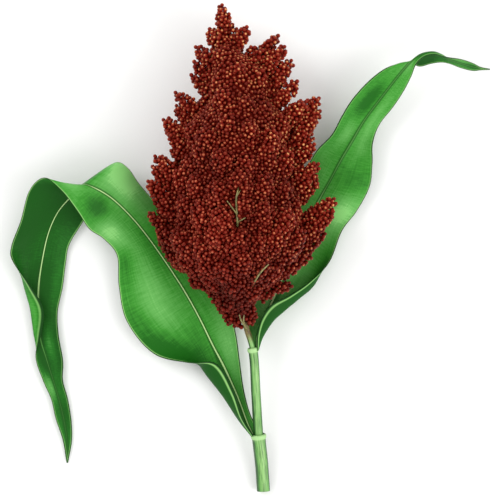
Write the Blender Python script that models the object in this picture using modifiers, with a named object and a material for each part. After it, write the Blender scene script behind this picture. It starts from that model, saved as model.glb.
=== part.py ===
# Sorghum seed head on its cut stalk with two leaves, lying on a flat surface.
# Metres, +Z up. +Y runs towards the tip of the head, and the origin is the flat spot under its belly.

import math

import bmesh
import bpy
from mathutils import Vector
from mathutils.bvhtree import BVHTree

MM = 0.001
UP = Vector((0, 0, 1))

# Sizes in millimetres.
FIT_GAP = 0.4  # between one piece and the next
BLADE_THICKNESS = 0.8
MIDRIB_THICKNESS = 2.0
COLLAR_THICKNESS = 1.3

# The stalk's centre line: distance along Y, then X and Z.
STALK_LINE = [
    (-249.3, 21.2, 6.0),
    (-225.0, 19.5, 12.5),
    (-199.8, 16.8, 19.5),
    (-162.0, 14.4, 28.5),
    (-121.5, 11.7, 36.5),
    (-103.5, 6.3, 39.5),
    (-81.0, 0.0, 43.0),
    (-40.5, -1.8, 46.5),
    (4.5, -2.7, 49.0),
    (58.5, -6.3, 50.5),
    (112.5, -9.9, 51.0),
    (176.0, -15.5, 51.0),
]
CUT_END = -249.3
LOWER_COLLAR = -199.8
UPPER_NODE = -213.0
UPPER_COLLAR = -121.5
HEAD_BASE = -100.0
RACHIS_TIP = 150.0
LOWER_SHEATH = [(CUT_END, 5.9), (-235.0, 5.9), (-220.0, 6.0), (-207.0, 6.1), (-202.6, 6.2)]
LOWER_BORE = [(-213.5, 4.5), (-211.0, 4.7), (-209.0, 4.7)]  # wider where it also holds the upper leaf's sheath
LOWER_BORE_ENDS = [(CUT_END - 5.0, 4.5), (CUT_END, 4.5), (-235.0, 4.5)], [(-190.0, 4.7), (-160.0, 4.7), (-130.0, 4.6)]
UPPER_SHEATH = [(-209.0, 4.3), (-195.0, 4.3), (-180.0, 4.3), (-162.0, 4.25), (-145.0, 4.2), (-123.8, 4.3)]
UPPER_BORE = [(-215.0, 3.6), (-190.0, 3.55), (-160.0, 3.5), (-121.5, 3.3), (-103.5, 3.1), (-70.0, 3.0)]
COLLAR_WIDTH = 4.4  # along the stalk
COLLAR_RISE = 0.8  # how far it stands out of the sheath

# How far the middle of the head reaches, behind the clusters that make its outline: distance along Y, half width to
# the left and right, half depth upwards and downwards.
HEAD_OUTLINE = [
    (-101.0, 4.0, 4.0, 5.0, 5.0),
    (-90.0, 15.0, 8.5, 17.0, 9.0),
    (-70.0, 30.0, 20.0, 37.0, 19.0),
    (-45.0, 51.0, 49.0, 52.0, 34.0),
    (-10.0, 70.0, 70.0, 62.0, 50.0),
    (30.0, 60.0, 62.0, 63.0, 50.0),
    (65.0, 48.0, 60.0, 58.0, 50.0),
    (85.0, 45.0, 62.0, 53.0, 48.0),
    (102.0, 20.0, 46.0, 47.0, 43.0),
    (130.0, 17.0, 42.0, 36.0, 33.0),
    (140.0, 12.0, 24.0, 31.5, 29.0),
    (149.0, 9.0, 13.0, 26.5, 24.5),
    (160.0, 8.0, 9.0, 20.0, 18.0),
    (182.0, 4.0, 4.0, 8.0, 8.0),
]

# Seed clusters that make the outline, seen from above: tip X and Y, cluster radius, length.
OUTLINE_CLUSTERS = [
    (-16.2, 189.5, 5.5, 60.0),
    (-18.0, 170.0, 9.5, 60.0),
    (-6.0, 172.0, 4.0, 26.0),
    (6.8, 169.5, 5.0, 46.0),
    (2.0, 159.0, 3.6, 26.0),
    (13.8, 151.0, 4.0, 26.0),
    (20.5, 148.0, 4.5, 28.0),
    (34.8, 161.5, 5.0, 50.0),
    (26.5, 149.5, 4.5, 32.0),
    (40.5, 151.5, 6.0, 40.0),
    (46.5, 139.5, 5.5, 36.0),
    (40.5, 127.5, 5.5, 32.0),
    (52.0, 120.5, 5.0, 34.0),
    (44.5, 112.0, 4.5, 28.0),
    (50.0, 97.0, 6.0, 32.0),
    (60.0, 102.5, 7.5, 42.0),
    (71.5, 105.5, 7.5, 52.0),
    (72.0, 94.0, 6.5, 42.0),
    (68.5, 88.0, 5.0, 36.0),
    (65.0, 74.0, 5.5, 36.0),
    (67.0, 64.5, 5.0, 32.0),
    (71.0, 46.5, 6.5, 44.0),
    (70.0, 32.5, 5.5, 42.0),
    (85.5, 15.5, 7.0, 58.0),
    (84.0, 4.0, 5.5, 46.0),
    (76.0, -11.5, 7.5, 44.0),
    (64.5, -33.0, 6.5, 42.0),
    (56.0, -42.0, 6.0, 36.0),
    (51.5, -49.0, 5.0, 34.0),
    (47.0, -64.0, 5.0, 38.0),
    (30.0, -72.0, 5.5, 28.0),
    (20.5, -72.5, 4.5, 24.0),
    (13.0, -83.5, 5.0, 18.0),
    (13.0, -95.5, 5.5, 20.0),
    (-27.5, 168.0, 5.5, 30.0),
    (-40.5, 152.0, 5.0, 42.0),
    (-31.0, 147.5, 6.5, 42.0),
    (-41.5, 138.5, 6.5, 36.0),
    (-44.5, 127.0, 4.5, 38.0),
    (-33.5, 118.0, 4.5, 30.0),
    (-34.0, 108.0, 5.0, 28.0),
    (-41.5, 101.5, 5.5, 40.0),
    (-58.5, 111.0, 4.8, 48.0),
    (-58.0, 98.5, 7.0, 42.0),
    (-69.0, 86.0, 6.5, 44.0),
    (-64.5, 73.5, 6.5, 42.0),
    (-58.5, 65.0, 5.5, 32.0),
    (-62.5, 58.5, 4.5, 36.0),
    (-77.5, 53.5, 6.0, 48.0),
    (-79.0, 44.0, 6.5, 42.0),
    (-83.5, 30.5, 7.0, 50.0),
    (-77.0, 18.5, 7.0, 42.0),
    (-75.0, 9.0, 6.5, 40.0),
    (-82.0, 2.5, 5.0, 44.0),
    (-75.5, -9.5, 8.0, 44.0),
    (-73.0, -21.0, 7.5, 42.0),
    (-67.5, -33.0, 7.5, 42.0),
    (-54.5, -41.0, 5.5, 34.0),
    (-49.0, -50.5, 6.5, 34.0),
    (-46.5, -58.5, 6.5, 32.0),
    (-37.0, -64.0, 6.0, 28.0),
    (-30.5, -68.5, 6.0, 28.0),
    (-24.5, -78.0, 6.0, 24.0),
    (-20.0, -85.5, 5.5, 20.0),
    (-13.5, -95.5, 6.0, 20.0),
    (-4.0, -99.5, 5.0, 14.0),
    (58.0, 44.0, 7.0, 36.0),
    (50.0, 36.0, 7.0, 30.0),
]

# The clusters it lies on, which the table has pressed flat: root, tip, radius.
RESTING_CLUSTERS = [
    ((-2.0, -36.0, 14.0), (0.0, 32.0, 5.0), 13.0),
    ((-12.0, -24.0, 14.0), (-22.0, 36.0, 5.0), 12.0),
    ((10.0, -20.0, 14.0), (20.0, 40.0, 5.0), 12.0),
    ((0.0, 8.0, 14.0), (-2.0, 66.0, 6.0), 12.0),
]
# The rows of clusters between them.
CLUSTER_ROWS = (-86.0, 160.0)
CLUSTER_ROW_PITCH = 24.0
CLUSTER_RADIUS = 12.0
CLUSTER_LENGTH = 50.0
# How far the branches climb for each millimetre out: distance along Y of the tip, climb.
BRANCH_CLIMB = [(-103.0, -0.3), (-75.0, -0.1), (-50.0, 0.2), (-20.0, 0.6), (0.0, 0.75), (193.0, 0.75)]
BRANCH_START = 16.0
# How far the lines that grains are placed on climb for each millimetre out: distance along Y, climb.
GRAIN_LINES = [(-103.0, -1.2), (-80.0, -0.7), (-45.0, 0.0), (0.0, 0.4), (40.0, 0.5), (193.0, 0.6)]
GRAIN_PITCH = 7.3
GRAIN_RISE = 1.8
PIT_DEPTH = 1.0
HEAD_ENDS = (-103.0, 193.0)
CORE_SHARE = 0.83  # how far out the core reaches, under the clusters

COLOURS = {
    "grain": (0.27, 0.035, 0.018, 1),
    "leaf": (0.07, 0.30, 0.05, 1),
    "stalk": (0.36, 0.60, 0.20, 1),
}


def along(rows, t):
    """The rest of the row at t, read from a smooth curve through the rows, whose first column is t."""
    last = len(rows) - 2
    i = min(last, max(0, sum(1 for row in rows if row[0] <= t) - 1))
    step = rows[i + 1][0] - rows[i][0]
    s = min(1.0, max(0.0, (t - rows[i][0]) / step))

    def slope(k, column):
        low, high = rows[max(0, k - 1)], rows[min(len(rows) - 1, k + 1)]
        return (high[column] - low[column]) / (high[0] - low[0])

    values = []
    for column in range(1, len(rows[0])):
        a, b = rows[i][column], rows[i + 1][column]
        ma, mb = slope(i, column) * step, slope(i + 1, column) * step
        values.append(
            (2 * s**3 - 3 * s**2 + 1) * a
            + (s**3 - 2 * s**2 + s) * ma
            + (3 * s**2 - 2 * s**3) * b
            + (s**3 - s**2) * mb
        )
    return values


def stalk_point(y):
    x, z = along(STALK_LINE, y)
    return Vector((x, y, z))


def material(name):
    made = bpy.data.materials.new(name)
    made.use_nodes = True
    shader = made.node_tree.nodes["Principled BSDF"]
    shader.inputs["Base Color"].default_value = COLOURS[name]
    shader.inputs["Roughness"].default_value = 0.45
    shader.inputs["Metallic"].default_value = 0.0
    made.diffuse_color = COLOURS[name]
    return made


def add_object(name, mesh, collection):
    made = bpy.data.objects.new(name, mesh)
    collection.objects.link(made)
    return made


def tube(name, points, radii, sides, collection):
    """A solid rod through the points, in millimetres, as a bevelled curve turned into a mesh."""
    curve = bpy.data.curves.new(name, "CURVE")
    curve.dimensions = "3D"
    curve.twist_mode = "Z_UP"
    curve.bevel_depth = MM
    curve.bevel_resolution = sides // 2 - 2
    curve.use_fill_caps = True
    spline = curve.splines.new("POLY")
    spline.points.add(len(points) - 1)
    for place, point, radius in zip(spline.points, points, radii):
        place.co = (*(point * MM), 1)
        place.radius = radius
    guide = add_object(name, curve, collection)
    graph = bpy.context.evaluated_depsgraph_get()
    mesh = bpy.data.meshes.new_from_object(guide.evaluated_get(graph))
    matrix = guide.matrix_world.copy()
    bpy.data.objects.remove(guide)
    shell = bmesh.new()
    shell.from_mesh(mesh)
    bmesh.ops.remove_doubles(shell, verts=shell.verts, dist=0.00001)
    bmesh.ops.recalc_face_normals(shell, faces=shell.faces)
    shell.to_mesh(mesh)
    shell.free()
    made = add_object(name, mesh, collection)
    made.matrix_world = matrix
    return made


def stalk_tube(name, rows, sides, collection, grow=0.0):
    """A rod along the stalk's centre line. The rows are distance along Y and radius."""
    points = [stalk_point(y) for y, radius in rows]
    radii = [radius + grow for y, radius in rows]
    return tube(name, points, radii, sides, collection)


def bent_grid(name, columns, rows, place, collection, closed=False):
    """A grid bent by place(column, row), in millimetres, with every square split along the same diagonal."""
    sheet = bmesh.new()
    bmesh.ops.create_grid(sheet, x_segments=columns, y_segments=rows, size=1)
    for vert in sheet.verts:
        column = round((vert.co.x + 1) / 2 * columns)
        row = round((vert.co.y + 1) / 2 * rows)
        vert.co = place(column, row) * MM
    bmesh.ops.triangulate(sheet, faces=sheet.faces, quad_method="ALTERNATE")
    if closed:
        bmesh.ops.remove_doubles(sheet, verts=sheet.verts, dist=0.00001)
        bmesh.ops.recalc_face_normals(sheet, faces=sheet.faces)
    mesh = bpy.data.meshes.new(name)
    sheet.to_mesh(mesh)
    sheet.free()
    return add_object(name, mesh, collection)


def join(base, operation, others, solver="EXACT"):
    """Applies one Boolean of a collection to base, then removes that collection's objects."""
    modifier = base.modifiers.new(operation.title(), "BOOLEAN")
    modifier.operation = operation
    modifier.operand_type = "COLLECTION"
    modifier.collection = others
    modifier.solver = solver
    bpy.context.view_layer.update()
    graph = bpy.context.evaluated_depsgraph_get()
    mesh = bpy.data.meshes.new_from_object(base.evaluated_get(graph))
    base.modifiers.clear()
    base.data = mesh
    for other in list(others.objects):
        bpy.data.objects.remove(other)


def keep_outer_skin(made):
    """Removes the skins of closed hollows, and any loose crumb, that a Boolean left beside the outer skin."""
    shell = bmesh.new()
    shell.from_mesh(made.data)
    left, skins = set(shell.verts), []
    while left:
        skin, edge = set(), [left.pop()]
        while edge:
            vert = edge.pop()
            skin.add(vert)
            near = {link.other_vert(vert) for link in vert.link_edges} & left
            left -= near
            edge.extend(near)
        skins.append(skin)
    skins.sort(key=len)
    loose = [vert for skin in skins[:-1] for vert in skin]
    bmesh.ops.delete(shell, geom=loose, context="VERTS")
    shell.to_mesh(made.data)
    shell.free()


def finish(made, material_made):
    made.data.materials.clear()
    made.data.materials.append(material_made)
    return made


# The blades. Each row is one place along the leaf: midrib, left margin and right margin as X, Y and Z, then how far
# the middle of the left half and of the right half stand off the straight line from midrib to margin.
LOWER_BLADE = [
    ((11.6, -199.5, 17.0), (13.0, -201.0, 24.0), (19.5, -198.5, 14.8), (-1.5, 0, 1.0), (0, 0, -2.2)),
    ((6.3, -187.2, 13.0), (2.2, -183.5, 25.0), (9.5, -180.5, 12.0), (-5.5, 0, -3.0), (0, 0, -1.0)),
    ((-2.0, -164.0, 9.5), (-5.4, -160.5, 26.5), (3.2, -157.5, 13.5), (-12.0, -1.0, -2.5), (0, 0, -1.5)),
    ((-14.0, -137.0, 8.0), (-20.5, -134.5, 27.0), (-0.8, -128.5, 14.5), (-14.0, -7.5, -5.0), (0, 0, -1.5)),
    ((-24.3, -118.0, 8.0), (-46.0, -133.0, 25.5), (-4.0, -106.5, 12.5), (-4.5, -3.0, -6.0), (0, 0, -1.5)),
    ((-37.0, -92.5, 9.0), (-78.0, -125.0, 19.0), (-11.5, -79.0, 9.0), (0, 0, -3.0), (0, 0, -1.0)),
    ((-50.5, -68.5, 10.5), (-102.0, -96.5, 15.5), (-27.0, -56.0, 4.5), (0, 0, 2.5), (0, 0, -1.0)),
    ((-65.0, -46.0, 13.0), (-109.3, -64.5, 14.0), (-40.0, -30.5, 4.5), (0, 0, 4.5), (0, 0, 0.5)),
    ((-81.0, -23.0, 18.5), (-111.0, -36.5, 20.0), (-57.0, -7.0, 8.0), (0, 0, 3.0), (0, 0, 2.0)),
    ((-96.3, -3.6, 26.0), (-123.0, -21.5, 29.0), (-76.0, 11.0, 15.0), (0, 0, 1.0), (0, 0, 3.0)),
    ((-112.5, 12.6, 36.0), (-136.0, -12.5, 38.0), (-91.0, 27.9, 25.0), (0, 0, 1.0), (1.0, 1.0, 4.0)),
    ((-125.5, 21.6, 45.0), (-146.5, 3.5, 45.0), (-101.0, 42.0, 34.0), (0, 0, 2.0), (2.0, 3.0, 4.5)),
    ((-137.0, 26.5, 49.0), (-161.0, 22.5, 50.0), (-111.6, 47.3, 35.0), (0, 0, 3.0), (3.0, 3.0, 5.0)),
    ((-144.0, 26.0, 41.0), (-176.5, 33.5, 44.0), (-125.0, 37.5, 26.0), (0, -1.0, 3.0), (3.0, 3.0, 1.0)),
    ((-153.0, 16.5, 27.0), (-190.0, 22.0, 32.0), (-131.0, 18.5, 15.0), (-2.0, 2.0, 2.0), (0, 2.0, 1.0)),
    ((-164.5, 3.0, 16.5), (-198.0, -5.5, 22.0), (-139.5, -1.5, 8.0), (-1.5, 0, -1.0), (0, 0, 1.5)),
    ((-173.0, -16.0, 11.0), (-206.5, -28.5, 17.0), (-154.0, -25.5, 5.0), (-1.0, 0, -3.0), (0, 0, 2.0)),
    ((-178.5, -40.5, 8.0), (-205.0, -41.5, 21.0), (-157.5, -42.5, 4.0), (-3.5, -1.0, -5.0), (0, 0, 2.0)),
    ((-181.5, -63.0, 6.0), (-189.5, -64.0, 19.0), (-160.5, -66.0, 5.0), (-9.5, 0, -5.0), (0, 0, 1.0)),
    ((-182.0, -85.5, 4.5), (-177.8, -85.0, 15.5), (-164.8, -87.5, 6.0), (-9.5, 0, -1.5), (0, 0, -0.5)),
    ((-180.5, -110.0, 4.0), (-180.3, -110.0, 11.5), (-164.0, -108.5, 8.5), (-5.5, 0, -1.0), (0, 0, -1.5)),
    ((-175.3, -129.5, 3.5), (-184.8, -128.5, 6.5), (-160.0, -132.0, 8.0), (-0.8, 0, 0.5), (0, 0, -1.5)),
    ((-169.3, -148.5, 3.0), (-178.2, -149.5, 5.5), (-160.3, -149.0, 7.0), (0, 0, 0.5), (0, 0, -1.0)),
    ((-164.3, -165.0, 2.5), (-170.8, -166.5, 4.5), (-155.7, -166.5, 5.0), (0, 0, 0.5), (0, 0, -0.5)),
    ((-159.8, -183.0, 2.0), (-166.6, -184.5, 4.0), (-152.6, -185.5, 4.0), (0, 0, 0.5), (0, 0, -0.5)),
    ((-156.6, -203.0, 1.8), (-160.2, -203.5, 3.5), (-152.1, -204.0, 3.0), (0, 0, 0), (0, 0, 0)),
    ((-156.2, -224.0, 1.5), (-156.8, -224.0, 1.7), (-155.6, -224.0, 1.7), (0, 0, 0), (0, 0, 0)),
]
UPPER_BLADE = [
    ((15.6, -121.0, 34.0), (10.5, -121.0, 31.8), (15.2, -122.5, 39.8), (0.5, 0, -1.2), (1.2, 0, 0.5)),
    ((15.5, -109.0, 28.5), (7.5, -101.0, 28.0), (15.8, -107.0, 42.0), (0, 0, -1.0), (5.0, -2.0, 0)),
    ((21.6, -92.7, 20.5), (11.5, -84.0, 17.0), (19.2, -93.6, 37.0), (0, 0, -1.0), (9.5, -2.5, -1.0)),
    ((27.9, -80.1, 15.0), (18.5, -70.5, 9.0), (28.0, -81.0, 31.5), (0, 0, 0), (12.0, -6.0, -1.0)),
    ((35.1, -63.0, 12.0), (22.5, -54.0, 4.5), (44.5, -72.5, 29.0), (0, 0, 0.5), (13.0, -7.0, -2.5)),
    ((44.1, -42.3, 8.5), (28.5, -32.5, 2.8), (63.0, -60.0, 24.5), (0, 0, 0.5), (12.5, -8.5, -3.5)),
    ((54.0, -20.7, 8.0), (34.5, -10.5, 2.2), (80.5, -42.3, 19.0), (0, 0, 0.5), (4.5, -3.0, -3.0)),
    ((63.9, -0.9, 10.0), (43.5, 9.0, 3.2), (92.0, -14.5, 13.0), (0, 0, 0.5), (0, 0, -1.0)),
    ((72.9, 16.2, 13.0), (53.0, 27.0, 9.5), (105.3, 3.6, 10.0), (0, 0, 0.5), (0, 0, 3.0)),
    ((82.0, 32.4, 15.5), (61.0, 43.5, 13.0), (117.0, 26.0, 14.0), (0, 0, 1.0), (0, 0, 3.5)),
    ((91.0, 49.5, 18.0), (69.5, 58.5, 20.0), (119.5, 46.5, 22.0), (0, 0, -1.0), (0, 0, -1.0)),
    ((101.0, 66.6, 21.0), (82.8, 72.5, 25.5), (119.7, 64.5, 24.5), (0, 0, -2.0), (0, 0, -2.0)),
    ((111.6, 84.6, 25.0), (91.8, 89.1, 31.0), (126.0, 82.0, 24.0), (0, 0, -2.0), (0, 0, 1.0)),
    ((124.2, 101.7, 29.0), (101.7, 104.8, 35.0), (138.0, 97.5, 27.0), (0, 0, -2.0), (0, 0, 1.5)),
    ((135.9, 117.0, 33.0), (117.0, 121.5, 38.5), (147.6, 112.0, 31.0), (0, 0, -1.5), (0, 0, 1.0)),
    ((146.7, 130.5, 37.0), (133.0, 133.0, 40.0), (154.8, 126.0, 36.0), (0, 0, -1.0), (0, 0, 0.5)),
    ((154.8, 139.1, 40.0), (151.0, 138.0, 34.0), (158.5, 135.5, 43.0), (0, 0, 0), (0, 0, 0)),
    ((163.0, 145.0, 42.5), (161.5, 134.0, 31.5), (165.6, 142.3, 46.0), (0, 1.0, -1.0), (0, 0.6, 0.8)),
    ((173.4, 147.0, 41.0), (172.0, 136.5, 29.0), (174.6, 144.4, 44.5), (0, 1.0, -1.0), (0, 0.8, 0.8)),
    ((181.5, 144.6, 37.0), (181.0, 137.8, 27.5), (182.5, 142.6, 40.0), (0, 0.8, -0.8), (0, 0.5, 0.5)),
    ((188.5, 140.5, 32.0), (189.0, 136.7, 26.0), (189.0, 141.8, 34.5), (0, 0, -0.5), (0, 0, 0)),
    ((199.0, 137.0, 23.5), (199.0, 133.0, 20.5), (199.0, 140.8, 25.5), (0, 0, 0.3), (0, 0, 0.3)),
    ((209.7, 134.1, 14.5), (209.7, 130.5, 12.5), (209.7, 137.5, 16.0), (0, 0, 0.3), (0, 0, 0.3)),
    ((217.8, 132.6, 8.0), (217.8, 131.1, 7.2), (217.8, 133.8, 8.6), (0, 0, 0), (0, 0, 0)),
    ((225.9, 132.0, 2.0), (225.8, 131.5, 2.0), (225.8, 132.5, 2.0), (0, 0, 0), (0, 0, 0)),
]
BLADE_STEPS = 2  # rows of faces from one place along a leaf to the next
ACROSS = (-1.0, -0.6, -0.08, 0.0, 0.08, 0.6, 1.0)  # left margin to right margin


def blade_point(places, t, across):
    """A point of the blade's middle surface: t counts places along the leaf, and across runs from -1 to 1."""
    rows = [(i, *(number for point in place for number in point)) for i, place in enumerate(places)]
    numbers = along(rows, t)
    midrib, left, right, left_bow, right_bow = (Vector(numbers[k : k + 3]) for k in range(0, 15, 3))
    margin, bow = (left, left_bow) if across < 0 else (right, right_bow)
    share = abs(across)
    return midrib.lerp(margin, share) + bow * (4 * share * (1 - share))


def blade(name, places, collection):
    """The blade as a solid sheet, thickest along its midrib."""
    rows = (len(places) - 1) * BLADE_STEPS

    def place(column, row):
        return blade_point(places, row / BLADE_STEPS, ACROSS[column])

    made = bent_grid(name, len(ACROSS) - 1, rows, place, collection)
    ribs = made.vertex_groups.new(name="midrib")
    ribs.add([vert.index for vert in made.data.vertices], BLADE_THICKNESS / MIDRIB_THICKNESS, "REPLACE")
    middle = {
        tuple(round(c, 6) for c in place(ACROSS.index(0.0), row) * MM) for row in range(rows - 2 * BLADE_STEPS)
    }
    on_rib = [v.index for v in made.data.vertices if tuple(round(c, 6) for c in v.co) in middle]
    ribs.add(on_rib, 1.0, "REPLACE")
    solid = made.modifiers.new("Thickness", "SOLIDIFY")
    solid.thickness = MIDRIB_THICKNESS * MM
    solid.offset = 0
    solid.vertex_group = ribs.name
    graph = bpy.context.evaluated_depsgraph_get()
    mesh = bpy.data.meshes.new_from_object(made.evaluated_get(graph))
    bpy.data.objects.remove(made)
    shell = bmesh.new()
    shell.from_mesh(mesh)
    bmesh.ops.recalc_face_normals(shell, faces=shell.faces)
    shell.to_mesh(mesh)
    shell.free()
    return add_object(name, mesh, collection)


def culm_rows():
    """The bare stalk inside the sheaths, then the thin stem and the axis of the head: distance along Y, radius."""
    node = UPPER_NODE
    return [
        (CUT_END, 4.1),
        (-235.0, 4.1),
        (node - 4.0, 4.1),
        (node - 1.5, 4.3),
        (node, 4.3),
        (node + 1.5, 3.2),
        (-190.0, 3.1),
        (-160.0, 3.0),
        (-140.0, 2.9),
        (-121.5, 2.8),
        (-112.0, 2.7),
        (-103.5, 2.6),
        (-92.0, 2.5),
        (-81.0, 2.4),
        (-60.0, 2.3),
        (-40.5, 2.2),
        (-18.0, 2.1),
        (4.5, 2.0),
        (30.0, 1.9),
        (58.5, 1.7),
        (85.0, 1.5),
        (112.5, 1.3),
        (RACHIS_TIP, 1.0),
    ]


# Side branches that show between the seed clusters: points from the head's axis outwards, then radii.
SHOWN_BRANCHES = [
    (
        [
            (-2.0, -48.0, 46.0),
            (-2.6, -30.0, 70.0),
            (-2.4, -14.0, 92.5),
            (-2.4, -6.7, 101.5),
            (-2.7, 2.0, 105.3),
            (-3.4, 13.5, 108.0),
            (-2.5, 19.0, 108.6),
            (-1.2, 25.0, 105.8),
        ],
        [1.5, 1.4, 1.3, 1.25, 1.2, 1.1, 1.0, 0.7],
    ),
    ([(-2.4, -7.5, 100.5), (-1.2, -6.0, 102.0), (1.5, -4.5, 103.8), (4.5, -2.7, 103.8)], [0.9, 0.9, 0.8, 0.6]),
    ([(-2.8, 0.5, 104.6), (-5.6, 4.7, 105.6), (-8.5, 8.5, 106.7), (-11.3, 12.2, 107.8)], [0.9, 0.9, 0.8, 0.6]),
    ([(-3.1, 16.0, 108.4), (-1.6, 19.0, 107.8), (0.6, 22.0, 106.0)], [0.9, 0.8, 0.6]),
    (
        [
            (0.0, -82.0, 43.0),
            (5.0, -75.0, 53.0),
            (12.0, -62.0, 74.0),
            (15.9, -55.3, 87.5),
            (19.0, -51.0, 91.8),
            (25.4, -44.6, 93.0),
        ],
        [1.4, 1.3, 1.2, 1.1, 1.0, 0.7],
    ),
    ([(6.3, -104.0, 40.5), (4.2, -99.5, 51.5), (1.2, -95.0, 59.0), (-0.5, -90.0, 64.8)], [1.3, 1.2, 1.0, 0.7]),
    ([(3.4, -98.0, 53.5), (3.2, -94.0, 60.5), (3.6, -90.0, 66.5)], [1.0, 0.9, 0.6]),
]


def axis_pieces(prefix, collection, grow=0.0):
    """The stalk with the head's axis, and the side branches that show, as separate rods."""
    made = [stalk_tube(prefix + "_axis", culm_rows(), 12, collection, grow)]
    for number, (points, radii) in enumerate(SHOWN_BRANCHES):
        points = [Vector(point) for point in points]
        radii = [radius + grow for radius in radii]
        made.append(tube(f"{prefix}_branch_{number}", points, radii, 6, collection))
    return made


def head_extent(y, angle):
    """How far the head reaches from its axis at this place, towards the angle, which is 0 to the right and 90 up."""
    left, right, above, below = along(HEAD_OUTLINE, y)
    c, s = math.cos(angle), math.sin(angle)
    wide = right if c > 0 else left
    deep = above if s > 0 else below
    return wide * deep / math.hypot(deep * c, wide * s)


def all_clusters():
    """Every seed cluster, as its root on the axis, its tip, and its radius."""
    clusters = []
    for number, (x, y, radius, length) in enumerate(OUTLINE_CLUSTERS):
        centre = stalk_point(min(y, RACHIS_TIP))
        tip = Vector((x, y, centre.z + (9.0 if y < -60.0 else (12.0, 5.0, 8.0)[number % 3])))
        clusters.append((tip, radius, length))
    (y, last), row = CLUSTER_ROWS, 0
    while y < last:
        around = math.pi * (head_extent(y, math.pi / 2) + head_extent(y, 0.0)) / 2
        for side in (1, -1):
            count = max(1, round(around * 0.78 / CLUSTER_ROW_PITCH))
            for k in range(count):
                turn = math.radians(20 + 140 * (k + (0.5, 0.22, 0.78)[row % 3]) / count) * side
                radius = min(CLUSTER_RADIUS, 5.5 + 0.12 * head_extent(y, turn))
                tip_y = y + (0.0, 6.0, -6.0)[(k + row) % 3]
                out = head_extent(tip_y, turn) * (1.0, 0.94, 0.97)[(2 * k + row) % 3]
                tip = stalk_point(min(tip_y, RACHIS_TIP)) + Vector((math.cos(turn), 0, math.sin(turn))) * out
                tip.y = tip_y
                tip.z = max(tip.z, radius * 0.5)
                clusters.append((tip, radius, CLUSTER_LENGTH))
        y += CLUSTER_ROW_PITCH
        row += 1
    standing = [(cluster_root(tip, length), tip, radius) for tip, radius, length in clusters]
    return standing + [(Vector(root), Vector(tip), radius) for root, tip, radius in RESTING_CLUSTERS]


def cluster_root(tip, length):
    """Where a cluster starts: back from its tip along a branch that climbs out from the head's axis."""
    centre = stalk_point(max(HEAD_BASE, min(tip.y, RACHIS_TIP)))
    out = Vector((tip.x - centre.x, 0, tip.z - centre.z))
    climb = along(BRANCH_CLIMB, tip.y)[0] * (out.length + BRANCH_START)
    start_y = max(HEAD_BASE - 2.0, min(RACHIS_TIP - 12.0, tip.y - climb))
    start = stalk_point(start_y)
    return tip + (start - tip).normalized() * min(length, 0.95 * (start - tip).length)


def cluster_share(t):
    """The cluster's radius along its length, as a share of its greatest: 0 at the root and 1 at the tip."""
    return max(0.0, math.sin(math.pi * min(1.0, 0.16 + 0.84 * t) ** 1.25)) ** 0.62


def plain_cluster(shape, root, tip, radius):
    """Adds a seed cluster without its grains: a smooth ear, thin at its root and pointed at its tip."""
    axis = (tip - root).normalized()
    side = axis.cross(UP).normalized()
    other = axis.cross(side)
    for vert in bmesh.ops.create_uvsphere(shape, u_segments=10, v_segments=9, radius=1)["verts"]:
        share = (vert.co.z + 1) / 2
        flat = Vector((vert.co.x, vert.co.y))
        out = flat / max(0.0001, flat.length) * radius * cluster_share(share)
        vert.co = root.lerp(tip, share) + side * out.x + other * out.y


def plain_core(shape):
    """Adds the smaller body in the middle of the head, which the clusters stand out of."""
    low, high = HEAD_BASE + 4.0, RACHIS_TIP + 6.0
    for vert in bmesh.ops.create_uvsphere(shape, u_segments=24, v_segments=24, radius=1)["verts"]:
        y = low + (high - low) * (1 - math.acos(max(-1.0, min(1.0, vert.co.z))) / math.pi)
        turn = math.atan2(vert.co.y, vert.co.x)
        on_axis = math.hypot(vert.co.x, vert.co.y) < 0.001
        reach = 0.0 if on_axis else head_extent(y, turn) * CORE_SHARE
        vert.co = stalk_point(y) + Vector((math.cos(turn), 0, math.sin(turn))) * reach


def mean_extent(y):
    return sum(along(HEAD_OUTLINE, y)) / 4


def head_rings():
    """Rings of grains from the head's base to its tip, a pitch apart along its outline: distance along Y, radius."""
    rings, gone, before = [], 0.0, (HEAD_ENDS[0], 0.0)
    y = HEAD_OUTLINE[0][0]
    while y < HEAD_OUTLINE[-1][0]:
        here = (y, mean_extent(y))
        gone += math.dist(here, before)
        if gone >= GRAIN_PITCH * math.sqrt(3) / 2:
            rings.append(here)
            gone = 0.0
        before = here
        y += 0.5
    return rings


def zip_rings(skin, low, high):
    """Triangles between two rings, each given as its points in order and the turn of its first one."""
    (low_points, low_turn), (high_points, high_turn) = low, high
    low_step, high_step = 2 * math.pi / len(low_points), 2 * math.pi / len(high_points)
    first = math.ceil((low_turn - high_turn) / high_step)
    high_turn += first * high_step
    i = j = 0
    while i < len(low_points) or j < len(high_points):
        a, b = low_points[i % len(low_points)], high_points[(first + j) % len(high_points)]
        low_next = low_turn + (i + 1) * low_step if i < len(low_points) and len(low_points) > 1 else math.inf
        high_next = high_turn + (j + 1) * high_step if j < len(high_points) and len(high_points) > 1 else math.inf
        if low_next == high_next == math.inf:
            break
        if low_next < high_next:
            i += 1
            skin.faces.new((a, low_points[i % len(low_points)], b))
        else:
            j += 1
            skin.faces.new((a, high_points[(first + j) % len(high_points)], b))


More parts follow.
